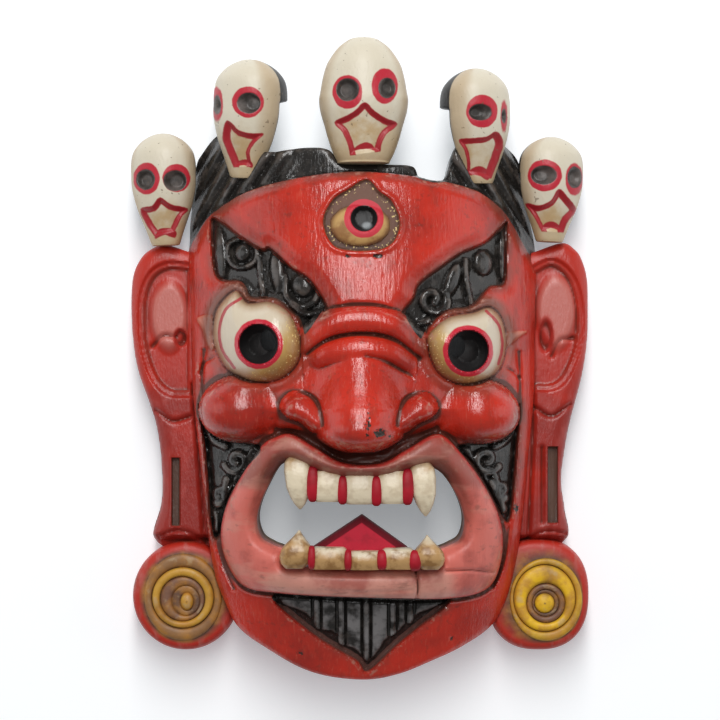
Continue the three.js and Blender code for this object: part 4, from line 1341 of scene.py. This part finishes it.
class MASK_OT_carve_face(Operator):
    """Carve the face, hair, lips and hollow back from one block and paint it"""

    bl_idname = "mask.carve_face"
    bl_label = "Carve Face"

    def execute(self, context):
        sizes, paint = context.scene.mask_sizes, context.scene.mask_paint
        edge = counter_clockwise(smooth_line(on_edge(HEAD_EDGE)))
        grid = Grid(edge.min(axis=0) - 3, edge.max(axis=0) + 3, sizes.carving_step / MM)
        face_fields(grid)
        grid.z = face_height(grid, sizes)
        grid.note_hollows()
        grid.fields["groove"] -= 1.1 * bell(grid.fields["eye"], 2.6) * ease(30, 16, grid.y)
        face = combine(relief_block(grid, BLOCK_FOOT), prism(edge, 0, BLOCK_TOP, HEAD_DRAFT), "INTERSECT")
        face = combine(face, hollow_tool(), "DIFFERENCE")
        mouth = counter_clockwise(smooth_line(on_face(MOUTH_EDGE, MOUTH_LIFT)))
        face = combine(face, prism(mouth, CUT_FOOT, BLOCK_TOP, MOUTH_DRAFT), "DIFFERENCE")
        for eye in EYES:
            middle = on_face([eye["pupil"]], PUPIL_LIFT)[0]
            face = combine(face, sight_hole(middle, eye["inward"], sizes.sight_hole / MM), "DIFFERENCE")
        x, y, z = places(face).T
        for name in ("groove", "sunk", "black", "lip", "lip_low", "lip_high", "lip_inner", "eye", "lid",
                     "corner", "vein", "ochre", "gilded", "chip", "beard", "beard_hollow", "third",
                     "third_ball", "third_iris", "painted_glint"):
            write_field(face, name, grid.read(grid.fields[name], x, y))
        below = grid.read(grid.fields["front"], x, y) - z
        within = -grid.read(grid.fields["head"], x, y)
        bare = ((z < 0.2) & (within > 4)) | ((z < hollow_height(x, y) + 0.4) & (below > 8) & (within > 8))
        write_field(face, "bare", np.where(bare, 1.0, 0.0))
        bored = (below > 3) & (z > 30) & (y > -10) & (np.abs(x) < 85)
        write_field(face, "iris", np.where(bored, 0.0, grid.read(grid.fields["iris"], x, y)))
        finish_piece(face, "face_carving", face_paint(paint))
        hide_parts(NODE)
        return {"FINISHED"}


def ellipse_share(ellipse, x, y, scale):
    """Distance from a pixel ellipse's middle over its radius, 1 on its edge; scale in millimetres a pixel."""
    (cx, cy), = at_height([ellipse[:2]], EAR_TOP)
    return np.hypot((x - cx) / (ellipse[2] * scale), (y - cy) / (ellipse[3] * scale))


class MASK_OT_carve_ears(Operator):
    """Carve both ears with their grooves, folds and slotted lobes"""

    bl_idname = "mask.carve_ears"
    bl_label = "Carve Ears"

    def execute(self, context):
        sizes = context.scene.mask_sizes
        material = ear_paint(context.scene.mask_paint)
        for ear in EARS:
            edge = counter_clockwise(smooth_line(ear["edge"]))
            grid = Grid(edge.min(axis=0) - 3, edge.max(axis=0) + 3, sizes.carving_step / MM)
            x, y = grid.x, grid.y
            rim = line_distance(edge, x, y, closed=True)
            groove = smooth_line(at_height(ear["groove"], EAR_TOP), closed=False)
            trough = line_distance(groove, x, y, reach=12)
            hollow = line_distance(groove, x, y, closed=True)
            pad, canal = (ellipse_share(ear[fold], x, y, EAR_PIXEL) for fold in ("pad", "canal"))
            *slot_place, wide, tall = ear["slot"]
            (sx, sy), = at_height([slot_place], EAR_TOP)
            slot = np.maximum(np.abs(x - sx) - wide * EAR_PIXEL, np.abs(y - sy) - tall * EAR_PIXEL)
            drop = 1 - np.sqrt(1 - np.clip(1 + rim / EAR_RIM_WIDTH, 0, 1) ** 2)
            z = EAR_TOP - EAR_RIM_FALL * drop - EAR_FOOT_FALL * ease(*EAR_FOOT, y)
            for start, end, depth in EAR_STEPS:
                z = z - depth * ease(start, end, hollow)
            z = z + PAD_RISE * ease(1.1, 0.72, pad) - CANAL_DEPTH * ease(1.15, 0.6, canal)
            z = z - SLOT_DEPTH * ease(0.5, -0.7, slot)
            for crease in ear["creases"]:
                line = smooth_line(at_height(crease, EAR_TOP), closed=False)
                z = z - CREASE_DEPTH * bell(line_distance(line, x, y, reach=10), CREASE_WIDTH)
            grid.z = z
            grid.note_hollows()
            lobe = 0.35 + 0.65 * ease(10, -32, y)
            grid.fields.update(fold=pad, canal=canal, slot=slot, trough=trough, lobe=lobe)
            piece = combine(relief_block(grid, BLOCK_FOOT), prism(edge, EAR_BACK, 100, EAR_DRAFT), "INTERSECT")
            px, py, _ = places(piece).T
            for name in ("groove", "sunk", "fold", "canal", "slot", "trough", "lobe"):
                write_field(piece, name, grid.read(grid.fields[name], px, py))
            finish_piece(piece, ear["name"], material)
        return {"FINISHED"}


def rosette_rings(earring, gold, dull, brown):
    """Rings of points and their paint: bands between neighbouring ellipses, each an arch over its width."""
    angle = np.linspace(0, 2 * np.pi, EARRING_POINTS, endpoint=False)
    circle = np.column_stack([np.cos(angle), np.sin(angle)])
    share = np.array([0, 0.06, 0.2, 0.4, 0.6, 0.8, 0.94, 1.0])
    lift = np.array([0, 0.55, 0.9, 1.0, 1.0, 0.9, 0.55, 0])
    edges = np.array([*earring["rings"], (*earring["rings"][-1][:2], 0.3, 0.3)])
    bands = [(1.9, dull), (2.5, gold), (1.5, brown * 1.7), (0.6, brown), (3.0, gold)]
    rings, tones, ridges = [], [], []
    for outer, inner, (height, tone) in zip(edges, edges[1:], bands):
        ellipse = outer + (inner - outer) * share[:, None]
        middle = at_height(ellipse[:, :2], EARRING_TOP)
        reach = ellipse[:, 2:] * EAR_PIXEL
        flat = middle[:, None] + reach[:, None] * circle
        tall = EARRING_TOP + 0.2 + height * (lift if inner[2] > 1 else np.sqrt(1 - (1 - share) ** 2))
        rings.append(np.dstack([flat, np.broadcast_to(tall[:, None], flat.shape[:2])]))
        wash = np.clip(12 * (0.5 - np.abs(share - 0.5)), 0, 1)[:, None]
        tones.append(brown + (tone - brown) * wash)
        ridges.append(lift)
    return np.vstack(rings), np.vstack(tones), np.concatenate(ridges), circle


class MASK_OT_turn_earrings(Operator):
    """Turn the two disc earrings with their rosettes"""

    bl_idname = "mask.turn_earrings"
    bl_label = "Turn Earrings"

    def execute(self, context):
        paint = context.scene.mask_paint
        material = earring_paint()
        brown, red = np.array(TONES["rosette groove"]), 0.8 * np.array(paint.red)
        profile = [(0.9, EARRING_BACK), (0.97, EARRING_BACK + 1), (1.0, EARRING_BACK + 4), (1.0, 23),
                   (0.985, 27), (0.95, 29.8), (0.9, EARRING_TOP - 0.3), (0.87, EARRING_TOP)]
        for earring in EARRINGS:
            gold = np.array(paint.yellow if earring["bright"] else TONES["left gold"])
            dull = np.array(TONES["right dull gold" if earring["bright"] else "left dull gold"])
            rings, tones, ridges, circle = rosette_rings(earring, gold, dull, brown)
            outline = np.sign(circle) * np.abs(circle) ** earring["corner"]
            (middle,) = at_height([earring["disc"][:2]], EARRING_TOP - 6)
            reach = np.array(earring["disc"][2:]) * EAR_PIXEL
            disc = np.array([
                np.column_stack([middle + share * reach * outline, np.full(len(circle), height)])
                for share, height in profile])
            piece = ring_body(np.vstack([disc, rings]))
            shades = np.vstack([np.tile(red, (len(profile), 1)), tones])
            write_colours(piece, "paint", np.repeat(shades, len(circle), axis=0))
            bare = np.zeros(len(profile))
            write_field(piece, "gilt", np.repeat(np.concatenate([bare, np.ones(len(tones))]), len(circle)))
            write_field(piece, "ridge", np.repeat(np.concatenate([bare, ridges]), len(circle)))
            finish_piece(piece, earring["name"], material, sharp_degrees=60)
        return {"FINISHED"}


def pixel_ellipse(ellipse, px, py):
    """Distance in millimetres from a pixel ellipse's edge, negative inside, in the photograph's plane."""
    cx, cy, rx, ry = ellipse
    return (np.hypot((px - cx) / rx, (py - cy) / ry) - 1) * min(rx, ry) * SKULL_PIXEL


def skull_fields(skull, points):
    """Carved and painted edges of a skull, as distances in the photograph's plane; negative is inside."""
    near = CAMERA_HEIGHT / (CAMERA_HEIGHT - points[..., 2])
    px = PHOTO_MIDDLE + PHOTO_SCALE * points[..., 0] * near
    py = PHOTO_MIDDLE - PHOTO_SCALE * points[..., 1] * near
    star = smooth_line(skull["star"], 4, closed=False)
    mouth = smooth_line(skull["mouth"], 4)
    sunk = line_distance(star, px, py, closed=True) * SKULL_PIXEL
    edge = line_distance(star, px, py) * SKULL_PIXEL
    painted_mouth = line_distance(mouth, px, py, closed=True) * SKULL_PIXEL
    return {
        "socket": nearest(pixel_ellipse(ellipse, px, py) for ellipse in skull["sockets"]),
        "ring": nearest(pixel_ellipse(ellipse, px, py) for ellipse in skull["rings"]),
        "sunk_star": sunk,
        "star": np.minimum(np.maximum(sunk - 0.4, edge - STAR_BAND), painted_mouth),
    }


def skull_axes(turn, lean):
    """Directions across, up and out of a skull's face, leaned in the picture and turned about its height."""
    across = np.array((math.cos(lean) * math.cos(turn), math.sin(lean), -math.cos(lean) * math.sin(turn)))
    upward = np.array((-math.sin(lean) * math.cos(turn), math.cos(lean), math.sin(lean) * math.sin(turn)))
    return across, upward, np.array((math.sin(turn), 0, math.cos(turn)))


class MASK_OT_carve_skulls(Operator):
    """Carve the five skulls of the crown with sunk eyes and painted jaws"""

    bl_idname = "mask.carve_skulls"
    bl_label = "Carve Skulls"

    def execute(self, context):
        material = skull_paint(context.scene.mask_paint)
        angle = np.linspace(0, 2 * np.pi, SKULL_POINTS, endpoint=False)
        for skull in SKULLS:
            width, height = skull["width"], skull["height"]
            profile = smooth_line(LONG_SKULL if skull["long"] else ROUND_SKULL, 14, closed=False)
            share, up = np.maximum(profile[:, :1], 0.004), profile[:, 1:]
            radius = share * width
            y = np.repeat(up * height, len(angle), axis=1)
            x = radius * np.sin(angle)
            back = SKULL_BACK[0] + (SKULL_BACK[1] - SKULL_BACK[0]) * ease(*SKULL_FLANGE, up)
            z = radius * np.where(np.cos(angle) > 0, SKULL_FRONT, back) * np.cos(angle)
            across, upward, forward = skull_axes(math.radians(skull["turn"]), math.radians(skull["lean"]))
            whole = skull["middle"] + x[..., None] * across + y[..., None] * upward + z[..., None] * forward
            fields = skull_fields(skull, whole)
            front = ease(0, 0.12 * width, z)
            sunk_eyes = SOCKET_DEPTH * ease(0.2, -3.0, fields["socket"])
            sunk = sunk_eyes + STAR_DEPTH * ease(0.3, -2.6, fields["sunk_star"])
            points = whole - (front * sunk)[..., None] * forward
            piece = ring_body(points[::-1, ::-1])
            hidden = np.where(z > 0, 0, 20)
            fields.update(low=-y / height, side=np.abs(x) / np.maximum(radius, 1), behind=z + 0.06 * width)
            for name, values in fields.items():
                shown = values + hidden if name in ("star", "socket", "ring", "sunk_star") else values
                write_field(piece, name, shown[::-1, ::-1].ravel())
            finish_piece(piece, skull["name"], material, sharp_degrees=50)
        return {"FINISHED"}


def tooth(root, edge, half_width, taper):
    """One tooth from its gum to its edge, and the share along it.

    Each ring is a superellipse in x and z, close to a rounded square, whose width follows the taper.
    """
    (x0, y0), (x1, y1) = at_height([root, edge], TOOTH_FRONT - 3)
    t = np.linspace(0, 1, TOOTH_RINGS)[:, None]
    angle = np.linspace(0, 2 * np.pi, TOOTH_POINTS, endpoint=False)
    cos, sin = np.cos(angle), np.sin(angle)
    width = np.interp(t, *np.transpose(taper))
    x = x0 + (x1 - x0) * t + half_width * TOOTH_PIXEL * width * np.sign(cos) * np.abs(cos) ** 0.5
    bulge = 0.82 + 0.18 * np.sin(np.pi * t)
    depth = TOOTH_DEPTH * bulge * np.sqrt(width) * np.sign(sin) * np.abs(sin) ** 0.55
    y = np.broadcast_to(y0 + (y1 - y0) * t, x.shape)
    return np.stack([x, y, np.broadcast_to(TOOTH_FRONT - TOOTH_DEPTH + depth, x.shape)], axis=-1), t


def gap(middle_x, middle_y, half_height, half_width):
    """Rings of the painted lens that fills the gap between two teeth."""
    (x, y), = at_height([(middle_x, middle_y)], TOOTH_FRONT - 2)
    t = np.linspace(-0.99, 0.99, GAP_RINGS)[:, None]
    angle = np.linspace(0, 2 * np.pi, GAP_POINTS, endpoint=False)
    width = (1 - t**2) ** 0.3
    cos, sin = np.cos(angle), np.sin(angle)
    flat = x + GAP_WIDENING * half_width * TOOTH_PIXEL * width * np.sign(cos) * np.abs(cos) ** 0.7
    tall = TOOTH_FRONT - GAP_DEPTH + GAP_RISE * width * np.sign(sin) * np.abs(sin) ** 0.45
    return np.stack([flat, np.broadcast_to(y + half_height * TOOTH_PIXEL * t, flat.shape), tall], axis=-1)


class MASK_OT_carve_teeth(Operator):
    """Carve the upper and lower teeth with their fangs and painted gaps"""

    bl_idname = "mask.carve_teeth"
    bl_label = "Carve Teeth"

    def execute(self, context):
        paint = context.scene.mask_paint
        red = gap_paint()
        rows = {"upper": (UPPER_TEETH, UPPER_FANGS, UPPER_FANG_TAPER, UPPER_GAPS, 0.3),
                "lower": (LOWER_TEETH, LOWER_FANGS, LOWER_FANG_TAPER, LOWER_GAPS, 0.95)}
        for row, (teeth, fangs, fang_taper, gaps, yellowing) in rows.items():
            material = enamel(paint, f"{row} enamel", yellowing)
            made = [tooth(*one, INCISOR_TAPER) for one in teeth]
            made += [tooth(*one, fang_taper) for one in fangs]
            for number, (rings, t) in enumerate(made, 1):
                piece = ring_body(rings if row == "upper" else rings[:, ::-1])
                write_field(piece, "gum", np.repeat(1 - t, rings.shape[1]))
                kind = "tooth" if number <= len(teeth) else "fang"
                finish_piece(piece, f"{row}_{kind}_{number}", material, sharp_degrees=50)
            for number, spot in enumerate(gaps, 1):
                piece = ring_body(gap(*spot)[:, ::-1])
                finish_piece(piece, f"{row}_gap_{number}", red, sharp_degrees=50)
        return {"FINISHED"}


class MASK_OT_carve_tongue(Operator):
    """Carve the wedge of the tongue"""

    bl_idname = "mask.carve_tongue"
    bl_label = "Carve Tongue"

    def execute(self, context):
        left, tip, right = at_height([TONGUE["left"], TONGUE["tip"], TONGUE["right"]], TONGUE["top"])
        bottom = np.linspace(left, right, 12)[1:-1] - (0, 3)
        sides = [np.linspace(right, tip, 10)[1:], np.linspace(tip, left, 10)[1:-1]]
        edge = counter_clockwise(np.vstack([left, bottom, right, *sides]))
        middle = (left + right) / 2 - (0, 1)
        stations = [(1.0, TONGUE["foot"]), (1.0, 74), (0.96, 76), (0.82, 79),
                    (0.79, 79.4), (0.3, 80.6), (0.02, 81)]
        rings = [np.column_stack([middle + (edge - middle) * share, np.full(len(edge), height)])
                 for share, height in stations]
        piece = ring_body(np.array(rings))
        # Top rings keep the crimson; the side rings are darker as painted shade.
        top = np.repeat([0, 0, 0, 0, 1, 1, 1], len(edge))[:, None]
        tones = top * np.array(TONES["tongue top"]) + (1 - top) * np.array(TONES["tongue side painted shade"])
        write_colours(piece, "paint", tones)
        finish_piece(piece, "tongue", tongue_paint(), sharp_degrees=25)
        return {"FINISHED"}


class MASK_OT_set_stage(Operator):
    """Lay the floor and set the camera and the soft lights"""

    bl_idname = "mask.set_stage"
    bl_label = "Set Stage"

    def execute(self, context):
        scene, look = context.scene, context.scene.mask_stage
        corners = np.array([(-1, -1), (1, -1), (1, 1), (-1, 1)]) * FLOOR_SPAN / MM / 2
        floor = new_object("floor", np.column_stack([corners, np.full(4, -0.4)]), [(0, 1, 2, 3)])
        book = PaintBook("floor paint")
        book.shader.inputs["Emission Color"].default_value = (*FLOOR_TINT, 1)
        book.shader.inputs["Emission Strength"].default_value = look.floor_glow
        floor.data.materials.append(book.surface(TONES["floor"], 0.9))
        camera = bpy.data.objects.new("camera", bpy.data.cameras.new("camera"))
        camera.data.lens = look.lens
        camera.data.clip_end = 100
        camera.location = (FRAME_SHIFT[0] * MM, FRAME_SHIFT[1] * MM, look.camera_height)
        scene.collection.objects.link(camera)
        scene.camera = camera
        lamps = {
            "front light": (FRONT_LAMP, look.front_power),
            "left light": (LEFT_LAMP, look.side_power),
            "right light": (RIGHT_LAMP, look.side_power),
        }
        for name, ((place, (width, length)), power) in lamps.items():
            lamp = bpy.data.objects.new(name, bpy.data.lights.new(name, "AREA"))
            lamp.data.shape = "ELLIPSE"
            lamp.data.size, lamp.data.size_y = width, length
            lamp.data.energy = power
            lamp.location = place
            tilt = math.atan2(math.hypot(place[0], place[1]), place[2])
            lamp.rotation_euler = (tilt, 0, math.atan2(place[1], place[0]) + math.pi / 2)
            scene.collection.objects.link(lamp)
        world = bpy.data.worlds.new("studio")
        world.use_nodes = True
        world.node_tree.nodes["Background"].inputs["Color"].default_value = (1, 1, 1, 1)
        world.node_tree.nodes["Background"].inputs["Strength"].default_value = look.sky
        scene.world = world
        scene.view_settings.view_transform = "Standard"
        return {"FINISHED"}


class MASK_PT_sidebar(Panel):
    """Sizes, colours and steps of the mask"""

    bl_idname = "MASK_PT_sidebar"
    bl_label = "Guardian Mask"
    bl_space_type = "VIEW_3D"
    bl_region_type = "UI"
    bl_category = "Mask"

    def draw(self, context):
        for group in (context.scene.mask_sizes, context.scene.mask_paint, context.scene.mask_stage):
            for name in group.__annotations__:
                self.layout.prop(group, name)
        for step in STEPS:
            self.layout.operator(step.bl_idname)


STEPS = (MASK_OT_carve_face, MASK_OT_carve_ears, MASK_OT_turn_earrings, MASK_OT_carve_skulls,
         MASK_OT_carve_teeth, MASK_OT_carve_tongue, MASK_OT_set_stage)
GROUPS = {"mask_sizes": MaskSizes, "mask_paint": MaskPaint, "mask_stage": StageLook}


def register():
    for kind in (*GROUPS.values(), *STEPS, MASK_PT_sidebar):
        bpy.utils.register_class(kind)
    for name, group in GROUPS.items():
        setattr(bpy.types.Scene, name, PointerProperty(type=group))


def unregister():
    for name in GROUPS:
        delattr(bpy.types.Scene, name)
    for kind in reversed((*GROUPS.values(), *STEPS, MASK_PT_sidebar)):
        bpy.utils.unregister_class(kind)


def main():
    register()
    bpy.ops.mask.carve_face()
    bpy.ops.mask.carve_ears()
    bpy.ops.mask.turn_earrings()
    bpy.ops.mask.carve_skulls()
    bpy.ops.mask.carve_teeth()
    bpy.ops.mask.carve_tongue()
    bpy.ops.mask.set_stage()


if __name__ == "__main__":
    main()
